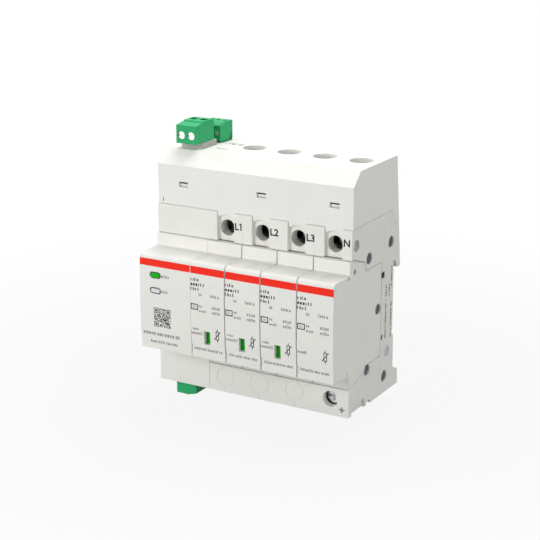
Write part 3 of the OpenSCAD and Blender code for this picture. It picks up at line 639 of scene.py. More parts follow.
# No finish has the name of one of the record's material slots, which the frame has taken
# WHITE and CASE get painted shade in those rooms and wells
WHITE = PaintedShadePlastic("housing_plastic", (0.80, 0.795, 0.755), 0.5,
                      rooms=(LINE_ROOMS,), wells=(BASE_WELL, TOWER_WELL))
CASE = PaintedShadePlastic("cartridge_plastic", (0.82, 0.815, 0.775), 0.46, wells=(CASE_WELL,))
COVER = MouldedPlastic("cover_plastic", (0.83, 0.825, 0.79), 0.5)
GREEN = MouldedPlastic("plug_plastic", (0.032, 0.41, 0.15), 0.42,
                       grain=0.3 * MM, relief=0.15, mottle=0.03, gloss=0.12)
GREY = MouldedPlastic("header_plastic", (0.40, 0.39, 0.36), 0.45)
RED = Ink("red_print", (0.96, 0.030, 0.015), 0.6, gloss=0.12)
BLACK = Ink("black_print", (0.010, 0.010, 0.011), 0.6, gloss=0.1)
DARK = Ink("dark_print", (0.025, 0.025, 0.028), 0.6, gloss=0.15)
# The grey ink draws small print, and also the painted shade rings on the lights and the painted shadow lines
# at the step
SOFT = Ink("grey_print", (0.10, 0.10, 0.105), 0.6, gloss=0.2)
RIVET = DrawnMetal("rivet_finish", DrawnMetal.RIVET_STEEL, 0.45, along=(1.0, 1.0, 1.0))
SCREW = DrawnMetal("screw_zinc", (0.80, 0.81, 0.83), 0.35, metal=0.55)
CLAMP = DrawnMetal("clamp_zinc", (0.66, 0.66, 0.65), 0.36)
COPPER = DrawnMetal("contact_copper", (0.78, 0.48, 0.30), 0.32)
BLADE = DrawnMetal("blade_tin", (0.70, 0.70, 0.68), 0.3, riveted=CASE_RIVETS)
POWER = Lens("power_lens", (0.0, 0.52, 0.004), 0.45, gloss=0.1)
CLEAR = Lens("bus_lens", (0.74, 0.77, 0.80), 0.35)
BOARD = MouldedPlastic("board_laminate", (0.03, 0.22, 0.10), 0.35, grain=0.8 * MM, relief=0.2, mottle=0.08)
EPOXY = MouldedPlastic("varistor_epoxy", (0.05, 0.12, 0.38), 0.3, grain=1 * MM, relief=0.3, mottle=0.05)
CERAMIC = MouldedPlastic("gap_ceramic", (0.78, 0.76, 0.70), 0.3)


def lies_at(edge: Edge, place: float) -> bool:
    """Tell whether both ends of an edge lie at a place along X, in metres."""
    return all(abs(vert.co.x - place) < 0.01 * MM for vert in edge.verts)


def stand_up(mesh: bmesh.types.BMesh, place: Vector) -> None:
    """Turn a mesh that lies flat so that it faces the front, and move it to its place.

    Args:
        mesh: The mesh, flat round the origin.
        place: The place that its origin comes to, in metres.
    """
    upright = Matrix.Rotation(math.radians(90), 3, "X")
    bmesh.ops.rotate(mesh, verts=mesh.verts[:], cent=(0, 0, 0), matrix=upright)
    bmesh.ops.translate(mesh, verts=mesh.verts[:], vec=place)


@dataclass
class Workshop:
    """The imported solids, with the ways of dressing them and of making new pieces.

    Attributes:
        nodes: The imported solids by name.
        made: The names of the pieces made so far.
    """

    # Points nearer than this are one, and so are faces that meet at less than this angle
    ONE_POINT: ClassVar[float] = 0.002 * MM
    FLAT: ClassVar[float] = math.radians(0.6)
    # Edges with more than this angle are rounded, and those left with more than this shade sharply
    SHARP: ClassVar[float] = math.radians(35)
    CREASE: ClassVar[float] = math.radians(40)

    nodes: dict[str, bpy.types.Object]
    made: list[str] = field(default_factory=list)

    def body_of(self, node: str) -> str:
        """The body that a node moves with."""
        return self.nodes[node]["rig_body"]

    def dress(self, node: str, finish: Finish) -> None:
        """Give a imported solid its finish.

        Args:
            node: The solid's name.
            finish: The finish that takes the place of the frame's own.
        """
        slots = self.nodes[node].data.materials
        slots.clear()
        slots.append(finish.material())
        LOG.info("%s: %s", node, finish.name)

    def piece(self, mesh: bmesh.types.BMesh, name: str, body: str, finish: Finish) -> bpy.types.Object:
        """Make an object of a mesh and let it ride on a body.

        Args:
            mesh: The mesh in the row's frame; it is freed.
            name: The piece's name.
            body: The body that it moves with.
            finish: Its finish.

        Returns:
            The new object.
        """
        bmesh.ops.recalc_face_normals(mesh, faces=mesh.faces[:])
        data = bpy.data.meshes.new(name)
        mesh.to_mesh(data)
        mesh.free()
        data.materials.append(finish.material())
        obj = bpy.data.objects.new(name, data)
        bpy.context.scene.collection.objects.link(obj)
        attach(obj, body)
        self.made.append(name)
        LOG.info("%s: %d faces on %s", name, len(data.polygons), body)
        return obj

    def rounded(self, node: str, radius: float, finish: Finish, slot: str,
                chosen: Callable[[Edge], bool] | None = None) -> bpy.types.Object:
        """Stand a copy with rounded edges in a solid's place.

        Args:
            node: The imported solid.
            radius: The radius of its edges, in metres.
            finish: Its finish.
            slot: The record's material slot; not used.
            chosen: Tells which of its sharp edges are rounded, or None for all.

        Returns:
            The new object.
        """
        mesh = bmesh.new()
        mesh.from_mesh(self.nodes[node].data)
        bmesh.ops.remove_doubles(mesh, verts=mesh.verts[:], dist=self.ONE_POINT)
        bmesh.ops.dissolve_limit(mesh, angle_limit=self.FLAT, use_dissolve_boundaries=False,
                                 verts=mesh.verts[:], edges=mesh.edges[:], delimit=set())
        outer = [edge for edge in mesh.edges
                 if edge.is_manifold and self.is_outer(edge, radius) and (chosen is None or chosen(edge))]
        bmesh.ops.bevel(mesh, geom=outer, offset=radius, offset_type="OFFSET", segments=2,
                        profile=0.5, affect="EDGES", clamp_overlap=True, material=-1, loop_slide=True)
        obj = self.piece(mesh, f"{node}_skin", self.body_of(node), finish)
        obj.data.polygons.foreach_set("use_smooth", [True] * len(obj.data.polygons))
        obj.data.set_sharp_from_angle(angle=self.CREASE)
        weighted = obj.modifiers.new("weighted_normals", "WEIGHTED_NORMAL")
        weighted.keep_sharp = True
        weighted.weight = 100
        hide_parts(node)
        return obj

    @classmethod
    def is_outer(cls, edge: Edge, radius: float) -> bool:
        """Tell whether an edge is long and sharp enough to be rounded."""
        return edge.calc_face_angle(0.0) > cls.SHARP and edge.calc_length() > 0.5 * radius


@dataclass
class Print:
    """Marks of print that lie on one face of the object.

    Attributes:
        side: The face's direction.
        proud: The print's thickness above the face, in metres.
        deep: The depth to which a mark reaches into the face, in metres.
        mesh: The marks so far.
    """

    side: Side = Side.FRONT
    proud: float = 0.012 * MM
    deep: float = 0.04 * MM
    mesh: bmesh.types.BMesh = field(default_factory=bmesh.new)

    def block(self, centre: Vector, width: float, height: float,
              tilt: float = 0.0, turn: float = 0.0) -> None:
        """Add a rectangle that lies on the face.

        Args:
            centre: Its centre on the face, in metres.
            width: Its size across.
            height: Its size upwards, or backwards on the top.
            tilt: The face's lean about X, in radians.
            turn: The rectangle's turn in the face, in radians.
        """
        thick = self.proud + self.deep
        shift = Matrix.Translation((0.0, 0.5 * (self.deep - self.proud), 0.0))
        size = Matrix.Diagonal((width, thick, height, 1.0))
        facing = {
            Side.FRONT: Matrix.Identity(4),
            Side.RIGHT: Matrix.Rotation(math.radians(90), 4, "Z"),
            Side.TOP: Matrix.Rotation(math.radians(-90), 4, "X"),
        }[self.side]
        lean = Matrix.Rotation(tilt, 4, "X")
        spin = Matrix.Rotation(turn, 4, "Y")
        matrix = Matrix.Translation(centre) @ lean @ facing @ spin @ shift @ size
        bmesh.ops.create_cube(self.mesh, size=1.0, matrix=matrix)


@dataclass
class LabelFace:
    """The label face of the monitoring section or of a cartridge, slightly bulged.

    Attributes:
        left: The face's left edge, in millimetres from the origin.
        low: The lower end of the bulge.
        high: The upper end of the bulge.
        front: The face's depth at the bulge's middle.
        bulge: How far the ends lie behind the middle.
        strip: The depth of the flat strip below the bulge.
    """

    # The low and high edge of the stripe at the upper end
    STRIPE: ClassVar[tuple[float, float]] = (16.35, 19.6)
    # Widths of a mark, height of a low one, and the gap between words, as shares of the line's height
    MARK_WIDTHS: ClassVar[tuple[float, ...]] = (0.3, 0.5, 0.56, 0.62)
    LOW_MARK: ClassVar[float] = 0.76
    WORD_GAP: ClassVar[float] = 0.3
    # The share of tall marks, and the least and most marks in the first word and in a later one
    TALL_SHARE: ClassVar[float] = 0.4
    FIRST_WORD: ClassVar[tuple[int, int]] = (4, 8)
    LATER_WORD: ClassVar[tuple[int, int]] = (3, 8)
    # In bars' widths: below which a mark is a single bar, that bar's own width, and the gap after a mark
    NARROW: ClassVar[float] = 2.2
    ONE_BAR: ClassVar[float] = 1.2
    MARK_GAP: ClassVar[float] = 1.1

    left: float
    low: float
    high: float = 20.2
    front: float = 57.8
    bulge: float = 0.5
    strip: float = 57.0

    def depth(self, height: float) -> float:
        """The face's depth at a height.

        Args:
            height: The height, in millimetres.

        Returns:
            The depth in front of the origin, in millimetres.
        """
        if height < self.low:
            return self.strip
        share = 2 * (height - self.low) / (self.high - self.low) - 1
        return self.front - self.bulge * share * share

    def lean(self, height: float) -> float:
        """The face's lean at a height, in radians."""
        step = 0.1
        return math.atan((self.depth(height - step / 2) - self.depth(height + step / 2)) / step)

    def rect(self, target: Print, rect: Rect) -> None:
        """Print a rectangle.

        Args:
            target: The print that it joins.
            rect: Its left, right, low and high edges, in millimetres: left and right from the face's edge.
        """
        x0, x1, z0, z1 = rect
        middle = 0.5 * (z0 + z1)
        centre = Vector((self.left + 0.5 * (x0 + x1), -self.depth(middle), middle)) * MM
        target.block(centre, (x1 - x0) * MM, (z1 - z0) * MM, -self.lean(middle))

    def stripe(self, left: float, right: float) -> Print:
        """Print the stripe across the upper end of the face.

        Args:
            left: Its left end, in millimetres from the face's left edge.
            right: Its right end.

        Returns:
            A print of its own.
        """
        target = Print()
        self.rect(target, (left, right, *self.STRIPE))
        return target

    def outline(self, target: Print, rect: Rect, stroke: float) -> None:
        """Print the outline of a rectangle.

        Args:
            target: The print that it joins.
            rect: Its outer edges, in millimetres.
            stroke: The outline's width.
        """
        x0, x1, z0, z1 = rect
        for edge in ((x0, x1, z0, z0 + stroke), (x0, x1, z1 - stroke, z1),
                     (x0, x0 + stroke, z0, z1), (x1 - stroke, x1, z0, z1)):
            self.rect(target, edge)

    def words(self, target: Print, line: Line) -> None:
        """Print a line of small marks in the rhythm of words, of bars alone.

        Args:
            target: The print that it joins.
            line: The line.
        """
        x, x1, z0, z1 = line.rect
        draw = random.Random(line.seed)
        height = z1 - z0
        bar = line.stroke * height
        marks = draw.randint(*self.FIRST_WORD)
        while x < x1 - self.MARK_WIDTHS[0] * height:
            width = min(height * draw.choice(self.MARK_WIDTHS), x1 - x)
            self.mark(target, (x, x + width, z0, z1), bar, draw)
            x += width + self.MARK_GAP * bar
            marks -= 1
            if marks == 0:
                x += self.WORD_GAP * height
                marks = draw.randint(*self.LATER_WORD)

    def mark(self, target: Print, rect: Rect, bar: float, draw: random.Random) -> None:
        """Print one mark of a word: an upright bar, two of them, or three level ones.

        Args:
            target: The print that it joins.
            rect: The space for the mark, in millimetres.
            bar: The width of a bar.
            draw: The source of the mark's form.
        """
        x0, x1, z0, z1 = rect
        low_top = z0 + self.LOW_MARK * (z1 - z0)
        top = z1 if draw.random() < self.TALL_SHARE else low_top
        if x1 - x0 < self.NARROW * bar:
            self.rect(target, (x0, x0 + self.ONE_BAR * bar, z0, top))
        elif draw.random() < 0.5:
            self.rect(target, (x0, x0 + bar, z0, top))
            self.rect(target, (x1 - bar, x1, z0, low_top))
        else:
            for step in (0.0, 0.5, 1.0):
                foot = z0 + step * (top - z0 - bar)
                self.rect(target, (x0, x1, foot, foot + bar))


@dataclass
class Monitor:
    """The monitoring section's front, its lights and its print.

    Attributes:
        shop: The workshop.
        left: The section's left edge, in millimetres.
        width: The section's width.
    """

    LIGHTS: ClassVar[tuple[str, ...]] = ("power_light", "bus_light")
    # The radius of the edges, the width of the painted shade rings on the lights' rims, and the lower end of
    # the label's bulge
    EDGE: ClassVar[float] = 0.15 * MM
    RING: ClassVar[float] = 0.22 * MM
    BULGE_LOW: ClassVar[float] = -22.5
    # How far inside the section's left and right edge the stripe ends
    STRIPE_INSETS: ClassVar[tuple[float, float]] = (0.12, 0.05)
    # The bold line below the code square, then the words by the two lights and the last line
    BOLD_LINE: ClassVar[Line] = Line((1.3, 20.6, -15.9, -14.2), 13, 0.17)
    SMALL_LINES: ClassVar[tuple[Line, ...]] = (
        Line((11.7, 16.3, 11.7, 13.0), 11),
        Line((11.5, 15.0, 4.65, 5.95), 12),
        Line((5.1, 20.0, -19.5, -18.15), 14),
    )

    shop: Workshop
    left: float = LEFT_SIDE
    width: float = FIRST_POLE - LEFT_SIDE

    def build(self) -> None:
        """Round the housing, dress the lights and print the front."""
        self.shop.rounded("monitor_base", self.EDGE, WHITE, "housing")
        # The front's plastic gets painted shade in the gaps round the two lights
        plastic = PaintedShadePlastic("monitor_plastic", CASE.colour, CASE.roughness,
                                rooms=self.light_rim_shade(), inside=(0.07, 0.07, 0.07))
        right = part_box("monitor_front")[1].x
        self.shop.rounded("monitor_front", self.EDGE, plastic, "housing",
                          lambda edge: not lies_at(edge, right))
        self.shop.dress("power_light", POWER)
        self.shop.dress("bus_light", CLEAR)
        self.shop.dress("circuit_board", BOARD)
        for light in self.LIGHTS:
            self.shade_ring(light)
        self.print_front()

    def shade_ring(self, node: str) -> None:
        """Lay a ring of painted shade on the rim of a light guide's end, for the shaded gap round it.

        Args:
            node: The light guide's solid.
        """
        low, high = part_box(node)
        radius = 0.5 * (high.z - low.z)
        half = 0.5 * (high.x - low.x) - radius
        mesh = bmesh.new()
        for size in (radius, radius - self.RING):
            bmesh.ops.create_circle(mesh, segments=34, radius=size)
        for vert in mesh.verts:
            vert.co.x += math.copysign(half, vert.co.x)
        bmesh.ops.bridge_loops(mesh, edges=mesh.edges[:])
        stand_up(mesh, Vector((0.5 * (low.x + high.x), low.y - 0.01 * MM, 0.5 * (low.z + high.z))))
        self.shop.piece(mesh, f"{node}_ring", "base", SOFT)

    def light_rim_shade(self) -> tuple[Space, ...]:
        """The spaces round the two lights, behind the face, where shade is painted.

        Returns:
            A space for each light, in metres.
        """
        rim, face = 0.5 * MM, -57.45 * MM
        spaces = []
        for light in self.LIGHTS:
            low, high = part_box(light)
            spaces.append(((low.x - rim, face, low.z - rim), (high.x + rim, high.y, high.z + rim)))
        return tuple(spaces)

    def print_front(self) -> None:
        """Print the red stripe, the words by the lights, the code square and the two lines."""
        face = LabelFace(self.left, self.BULGE_LOW)
        inset_left, inset_right = self.STRIPE_INSETS
        stripe = face.stripe(inset_left, self.width - inset_right)
        self.shop.piece(stripe.mesh, "monitor_stripe", "base", RED)
        dark = Print()
        face.words(dark, self.BOLD_LINE)
        self.code_square(face, dark)
        self.shop.piece(dark.mesh, "monitor_print", "base", DARK)
        soft = Print()
        for line in self.SMALL_LINES:
            face.words(soft, line)
        self.shop.piece(soft.mesh, "monitor_small_print", "base", SOFT)

    @staticmethod
    def code_square(face: LabelFace, target: Print) -> None:
        """Print a square of scattered cells with a framed mark in three of its corners.

        Args:
            face: The face that it lies on.
            target: The print that it joins.
        """
        cells, corner, core, filled = 25, 7, 3, 0.55
        left, low, size = 7.3, -11.6, 8.9
        step = size / cells
        # From the edge of a framed mark to its core and to its middle, and from there to its clear border
        inside, middle = (corner - core) // 2, corner // 2
        clear = middle + 1
        draw = random.Random(77)
        corners = ((0, 0), (0, cells - corner), (cells - corner, cells - corner))

        def patch(column: int, row: int, width: int, height: int) -> None:
            """Print some cells in one.

            Args:
                column: The first column.
                row: The first row.
                width: The number of columns.
                height: The number of rows.
            """
            x, z = left + column * step, low + row * step
            face.rect(target, (x, x + width * step, z, z + height * step))

        for column, row in corners:
            for inset in (0, corner - 1):
                patch(column + inset, row, 1, corner)
                patch(column, row + inset, corner, 1)
            patch(column + inside, row + inside, core, core)
        for column in range(cells):
            for row in range(cells):
                near = any(max(abs(column - c - middle), abs(row - r - middle)) <= clear for c, r in corners)
                if not near and draw.random() < filled:
                    patch(column, row, 1, 1)


@dataclass
class Cartridges:
    """The row of cartridges with their cases, cells, contacts and labels.

    Attributes:
        shop: The workshop.
        first: The left edge of the first cartridge's pole, in millimetres.
        pitch: The width of a pole.
        gap: The gap at a cartridge's side.
        shift: How far the print stands right of the pole's left edge.
        grip_low: The least height of the grips, above and below the middle.
        grip_high: The greatest height of the grips.
        seam_y: The depth in front of which the first case closes on its neighbour.
    """

    # The radius of the cases' edges, and the lower end of the label's bulge
    EDGE: ClassVar[float] = 0.15 * MM
    BULGE_LOW: ClassVar[float] = -16.3
    # How far inside the case's edges the stripe ends
    STRIPE_INSET: ClassVar[float] = 0.03
    # The right ends of the title's three lines, the foot of the first, their step and their height
    TITLE_ENDS: ClassVar[tuple[float, ...]] = (4.5, 7.2, 4.9)
    TITLE_FOOT: ClassVar[float] = 13.0
    TITLE_STEP: ClassVar[float] = 2.15
    TITLE_HEIGHT: ClassVar[float] = 1.45
    # The signs and values from the upper row to the lowest
    VALUE_LINES: ClassVar[tuple[Line, ...]] = (
        Line((4.4, 6.4, 6.45, 7.7), 31),
        Line((10.1, 14.9, 6.6, 7.9), 32),
        Line((4.5, 5.9, 1.35, 2.5), 33),
        Line((4.5, 8.0, -0.9, 0.2), 34),
        Line((11.1, 15.3, 1.35, 2.65), 35),
        Line((11.1, 15.3, -0.9, 0.4), 36),
    )
    # The words beside a flag's window, and the one in their place on the last cartridge
    FLAG_LINES: ClassVar[tuple[Line, ...]] = (
        Line((1.0, 4.0, -9.6, -8.4), 37),
        Line((0.1, 6.0, -11.7, -10.4), 38),
    )
    NEUTRAL_LINES: ClassVar[tuple[Line, ...]] = (Line((0.4, 5.6, -10.9, -9.6), 39),)
    # The line of small print at the foot, and the painted shadow lines along the strip's step above it and
    # at its left
    FOOT_LINE: ClassVar[Rect] = (1.4, 16.0, -18.9, -17.6)
    FOOT_STEP_SHADOWS: ClassVar[tuple[Rect, ...]] = ((0.2, 17.0, -16.6, -16.44), (0.2, 0.34, -20.6, -16.6))

    shop: Workshop
    first: float = FIRST_POLE
    pitch: float = POLE_PITCH
    gap: float = 0.25
    shift: float = 0.3
    grip_low: float = 20.3
    grip_high: float = 24.0
    seam_y: float = -55.5

    def build(self) -> None:
        """Dress each cartridge in turn: three with a varistor and a flag, the last with a spark gap."""
        for k in range(1, POLES + 1):
            self.round_case(k)
            self.shop.dress(f"cartridge_contacts_{k}", BLADE)
            if k < POLES:
                self.shop.dress(f"varistor_{k}", EPOXY)
                self.dress_flag(k)
            else:
                self.shop.dress("spark_gap", CERAMIC)
            self.print_label(k)

    def round_case(self, k: int) -> None:
        """Round the outline of both half shells at their outer sides, but for the grips and the left seam.

        Args:
            k: The cartridge's number, from the left.
        """
        for half, end in (("left", 0), ("right", 1)):
            node = f"cartridge_{half}_{k}"
            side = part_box(node)[end].x
            closed = node == "cartridge_left_1"

            def chosen(edge: Edge) -> bool:
                """Tell whether an edge is on the side's outline and clear of the grips.

                Args:
                    edge: The edge.

                Returns:
                    Whether it is rounded.
                """
                middle = 0.5 * (edge.verts[0].co + edge.verts[1].co)
                grip = self.grip_low * MM < abs(middle.z) < self.grip_high * MM
                return lies_at(edge, side) and not grip and not (closed and middle.y < self.seam_y * MM)

            self.shop.rounded(node, self.EDGE, CASE, "cartridge", chosen)

    def left(self, k: int) -> float:
        """The left edge of a pole, in millimetres."""
        return self.first + (k - 1) * self.pitch

    def dress_flag(self, k: int) -> None:
        """Give a flag its green field at the right and its red one at the left.

        Args:
            k: The cartridge's number, from the left.
        """
        low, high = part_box(f"flag_{k}")
        seam = low.x + 0.5 * (high.x - low.x)
        finish = TwoFieldPlastic(f"flag_print_{k}", (0.0, 0.34, 0.0), 0.5, seam=seam, gloss=0.15)
        self.shop.dress(f"flag_{k}", finish)

    def print_label(self, k: int) -> None:
        """Print the stripe, the title, the values and the small print of one cartridge, with painted shadow
        lines at the strip's step.

        Args:
            k: The cartridge's number, from the left.
        """
        face = LabelFace(self.left(k) + self.shift, self.BULGE_LOW)
        body = f"cartridge_{k}"
        margin = self.gap + self.STRIPE_INSET
        stripe = face.stripe(margin - self.shift, self.pitch - margin - self.shift)
        self.shop.piece(stripe.mesh, f"{body}_stripe", body, RED)
        dark = Print()
        for row, right in enumerate(self.TITLE_ENDS):
            foot = self.TITLE_FOOT - self.TITLE_STEP * row
            face.words(dark, Line((0.1, right, foot, foot + self.TITLE_HEIGHT), 20 + row, 0.26))
        self.framed_sign(face, dark)
        self.varistor_sign(face, dark)
        self.shop.piece(dark.mesh, f"{body}_print", body, DARK)
        soft = Print()
        own_lines = self.FLAG_LINES if k < POLES else self.NEUTRAL_LINES
        for line in (*self.VALUE_LINES, *own_lines, Line(self.FOOT_LINE, 40 + k)):
            face.words(soft, line)
        # Painted shadow lines along the strip's step, in the grey ink
        for edge in self.FOOT_STEP_SHADOWS:
            face.rect(soft, edge)
        self.shop.piece(soft.mesh, f"{body}_small_print", body, SOFT)

    @staticmethod
    def framed_sign(face: LabelFace, target: Print) -> None:
        """Print the small outlined box with two marks in it.

        Args:
            face: The face that it lies on.
            target: The print that it joins.
        """
        x0, x1, z0, z1, stroke = 0.2, 3.9, -0.2, 2.6, 0.46
        face.outline(target, (x0, x1, z0, z1), stroke)
        face.words(target, Line((x0 + 1.0, x1 - 0.9, z0 + 0.9, z1 - 0.9), 50, 0.16))

    @staticmethod
    def varistor_sign(face: LabelFace, target: Print) -> None:
        """Print the plain symbol of a voltage-dependent resistor.

        Args:
            face: The face that it lies on.
            target: The print that it joins.
        """
        x, z = 13.6, -10.6
        width, height, lead, stroke = 1.6, 4.1, 1.0, 0.36
        low, high = z - height / 2, z + height / 2
        face.outline(target, (x - width / 2, x + width / 2, low, high), stroke)
        face.rect(target, (x - stroke / 2, x + stroke / 2, high, high + lead))
        face.rect(target, (x - stroke / 2, x + stroke / 2, low - lead, low))
        middle = Vector((face.left + x, -face.depth(z), z)) * MM
        target.block(middle, stroke * MM, 5.2 * MM, -face.lean(z), math.radians(38))


@dataclass
class Housing:
    """The bases, the covers and the rivets with the marks on them.

    Attributes:
        shop: The workshop.
        first: The left edge of the first pole, in millimetres.
        pitch: The width of a pole.
        right: The right side's place.
        top: The height of the cover.
    """

    # The radius of the bases' edges and the upper cover's
    EDGE: ClassVar[float] = 0.12 * MM
    COVER_EDGE: ClassVar[float] = 0.15 * MM
    # Each line terminal's mark, the marks' depth, foot and height, the arch beside them and the gap to it
    TERMINALS: ClassVar[tuple[str, ...]] = ("L1", "L2", "L3", "N")
    MARK_DEPTH: ClassVar[float] = 41.8
    MARK_FOOT: ClassVar[float] = 33.9
    MARK_HEIGHT: ClassVar[float] = 3.15
    SCREW_ARCH: ClassVar[float] = 8.8
    MARK_GAP: ClassVar[float] = 0.35
    # Each column of bars on the right side: its depth, its lower and upper end, and its bars' length
    SIDE_COLUMNS: ClassVar[tuple[Column, ...]] = (
        (-1.9, -17.8, -0.8, 1.2),
        (-1.9, 6.2, 16.0, 1.2),
        (-7.4, -16.8, -0.6, 1.3),
        (-7.2, 0.8, 1.6, 1.2),
        (-7.2, 2.7, 8.2, 1.4),
        (-4.0, 2.4, 7.8, 1.4),
    )
    # Their bars' heights, the shares of the length that a bar may have, the gaps, and the last bar's room
    BAR_HEIGHTS: ClassVar[tuple[float, float]] = (0.25, 0.5)
    BAR_SHARES: ClassVar[tuple[float, ...]] = (0.55, 0.8, 1.0)
    BAR_GAPS: ClassVar[tuple[float, ...]] = (0.15, 0.18, 0.22, 0.6)
    LAST_BAR: ClassVar[float] = 0.3
    # The rows of marks on the top, each by its depth, left and right end, and the marks' sizes and gaps
    TOP_ROWS: ClassVar[tuple[Triple, ...]] = (
        (-25.2, -27.7, -22.7),
        (-14.9, -29.5, -21.0),
        (-13.2, -28.2, -20.2),
    )
    TOP_LENGTHS: ClassVar[tuple[float, float]] = (0.4, 0.8)
    TOP_DEPTHS: ClassVar[tuple[float, ...]] = (0.7, 1.0, 1.2)
    TOP_GAPS: ClassVar[tuple[float, ...]] = (0.3, 0.3, 0.9)
    # The mould's lines on the right side, each by the depth and height of its ends
    MOULD_LINES: ClassVar[tuple[Stroke, ...]] = (
        (-10.4, 36.5, -10.1, 24.0),
        (-16.8, 20.4, -13.1, 21.8),
        (-27.7, 20.9, -17.9, 20.3),
        (-28.3, 21.7, -27.7, 20.9),
        (-16.8, -20.8, -11.9, -20.6),
        (-12.9, -25.0, -12.7, -38.8),
        (-19.2, -38.2, -12.7, -38.8),
    )

    shop: Workshop
    first: float = FIRST_POLE
    pitch: float = POLE_PITCH
    right: float = RIGHT_SIDE
    top: float = COVER_TOP

    def build(self) -> None:
        """Round the bases and covers, dress the rivets and print the marks."""
        for k in range(1, POLES + 1):
            self.shop.rounded(f"pole_base_{k}", self.EDGE, WHITE, "housing")
        self.shop.rounded("top_cover", self.COVER_EDGE, COVER, "cover")
        self.shop.rounded("bottom_cover", self.EDGE, WHITE, "cover")
        self.shop.dress("rivets", RIVET)
        self.terminal_marks()
        self.cover_mark()
        self.earth_mark()
        self.side_print()
        self.side_relief()
        self.top_print()

    def terminal_marks(self) -> None:
        """Print the mark of each line terminal on the tab beside its screw."""
        for k, mark in enumerate(self.TERMINALS, 1):
            left = self.first + (k - 0.5) * self.pitch + self.SCREW_ARCH / 2 + self.MARK_GAP
            place = Vector((left, -self.MARK_DEPTH, self.MARK_FOOT)) * MM
            self.letters(mark, place, self.MARK_HEIGHT * MM, f"mark_{k}")

    def letters(self, text: str, place: Vector, height: float, name: str) -> None:
        """Stand a short mark of letters on a front face.

        Args:
            text: The mark.
            place: Its lower left corner on the face.
            height: The height of its capitals.
            name: The piece's name.
        """
        # A capital's share of the font's size, the strokes' extra width at each side, and the half thickness
        capital, bolder, thick = 0.73, 0.11 * MM, 0.02 * MM
        curve = bpy.data.curves.new(name, "FONT")
        curve.body = text
        curve.size = height / capital
        curve.extrude = thick
        curve.offset = bolder
        typed = bpy.data.objects.new(name + "_typed", curve)
        bpy.context.scene.collection.objects.link(typed)
        bpy.context.view_layer.update()
        data = bpy.data.meshes.new_from_object(typed.evaluated_get(bpy.context.evaluated_depsgraph_get()))
        bpy.data.objects.remove(typed)
        mesh = bmesh.new()
        mesh.from_mesh(data)
        bmesh.ops.remove_doubles(mesh, verts=mesh.verts[:], dist=0.0001 * MM)
        stand_up(mesh, place)
        if text.endswith("1"):
            # The font's 1 is a bare bar, so it gets the slanted stroke at its top
            right = max(vert.co.x for vert in mesh.verts)
            stroke = Vector((right - 0.24 * height, place.y, place.z + 0.87 * height))
            Print(mesh=mesh).block(stroke, 0.12 * height, 0.36 * height, 0.0, math.radians(52))
        self.shop.piece(mesh, name, "base", BLACK)

    def cover_mark(self) -> None:
        """Print the small upright mark at the left end of the cover's front."""
        target = Print()
        target.block(Vector((-46.5, -41.0, 42.85)) * MM, 0.45 * MM, 1.7 * MM)
        self.shop.piece(target.mesh, "cover_mark", "base", SOFT)

    def earth_mark(self) -> None:
        """Print the protective earth symbol beside its screw."""
        target = Print()
        x, depth, z, stroke = 45.75, 43.0, -39.5, 0.4
        for width, drop in ((2.8, 0.0), (1.7, 0.62), (0.7, 1.24)):
            target.block(Vector((x, -depth, z - drop)) * MM, width * MM, stroke * MM)
        target.block(Vector((x, -depth, z + 0.6)) * MM, stroke * MM, 1.2 * MM)
        self.shop.piece(target.mesh, "earth_mark", "base", DARK)

    def side_print(self) -> None:
        """Print the columns of small marks on the right side, with a square and a wedge."""
        target = Print(Side.RIGHT)
        draw = random.Random(5)
        for column in self.SIDE_COLUMNS:
            self.column(target, column, draw)
        for y, z, width, height, turn in ((-10.8, 13.7, 1.5, 2.5, 0.0), (-10.9, -15.5, 1.1, 2.4, 24.0)):
            centre = Vector((self.right, y, z)) * MM
            target.block(centre, width * MM, height * MM, 0.0, math.radians(turn))
        self.shop.piece(target.mesh, "side_print", "base", DARK)

    def column(self, target: Print, column: Column, draw: random.Random) -> None:
        """Print a column of small bars that runs up the side.

        Args:
            target: The print that it joins.
            column: The depth of its middle, its lower and upper end and its bars' length, in millimetres.
            draw: The source of the bars' sizes.
        """
        y, z, z1, width = column
        while z < z1 - self.LAST_BAR:
            height = draw.uniform(*self.BAR_HEIGHTS)
            length = width * draw.choice(self.BAR_SHARES)
            centre = Vector((self.right, y - 0.5 * (width - length), z + height / 2)) * MM
            target.block(centre, length * MM, height * MM)
            z += height + draw.choice(self.BAR_GAPS)

    def side_relief(self) -> None:
        """Raise the thin lines that the mould leaves on the right side."""
        target = Print(Side.RIGHT, proud=0.05 * MM)
        line = 0.22
        for y0, z0, y1, z1 in self.MOULD_LINES:
            middle = Vector((self.right, 0.5 * (y0 + y1), 0.5 * (z0 + z1))) * MM
            turn = math.atan2(y1 - y0, z1 - z0)
            target.block(middle, line * MM, math.hypot(y1 - y0, z1 - z0) * MM, 0.0, turn)
        self.shop.piece(target.mesh, "side_relief", "base", WHITE)

    def top_print(self) -> None:
        """Print the small marks beside the plugs on the top."""
        target = Print(Side.TOP)
        draw = random.Random(9)
        for y, x, x1 in self.TOP_ROWS:
            while x < x1:
                length = draw.uniform(*self.TOP_LENGTHS)
                depth = draw.choice(self.TOP_DEPTHS)
                target.block(Vector((x + length / 2, y, self.top)) * MM, length * MM, depth * MM)
                x += length + draw.choice(self.TOP_GAPS)
        self.shop.piece(target.mesh, "top_print", "base", DARK)


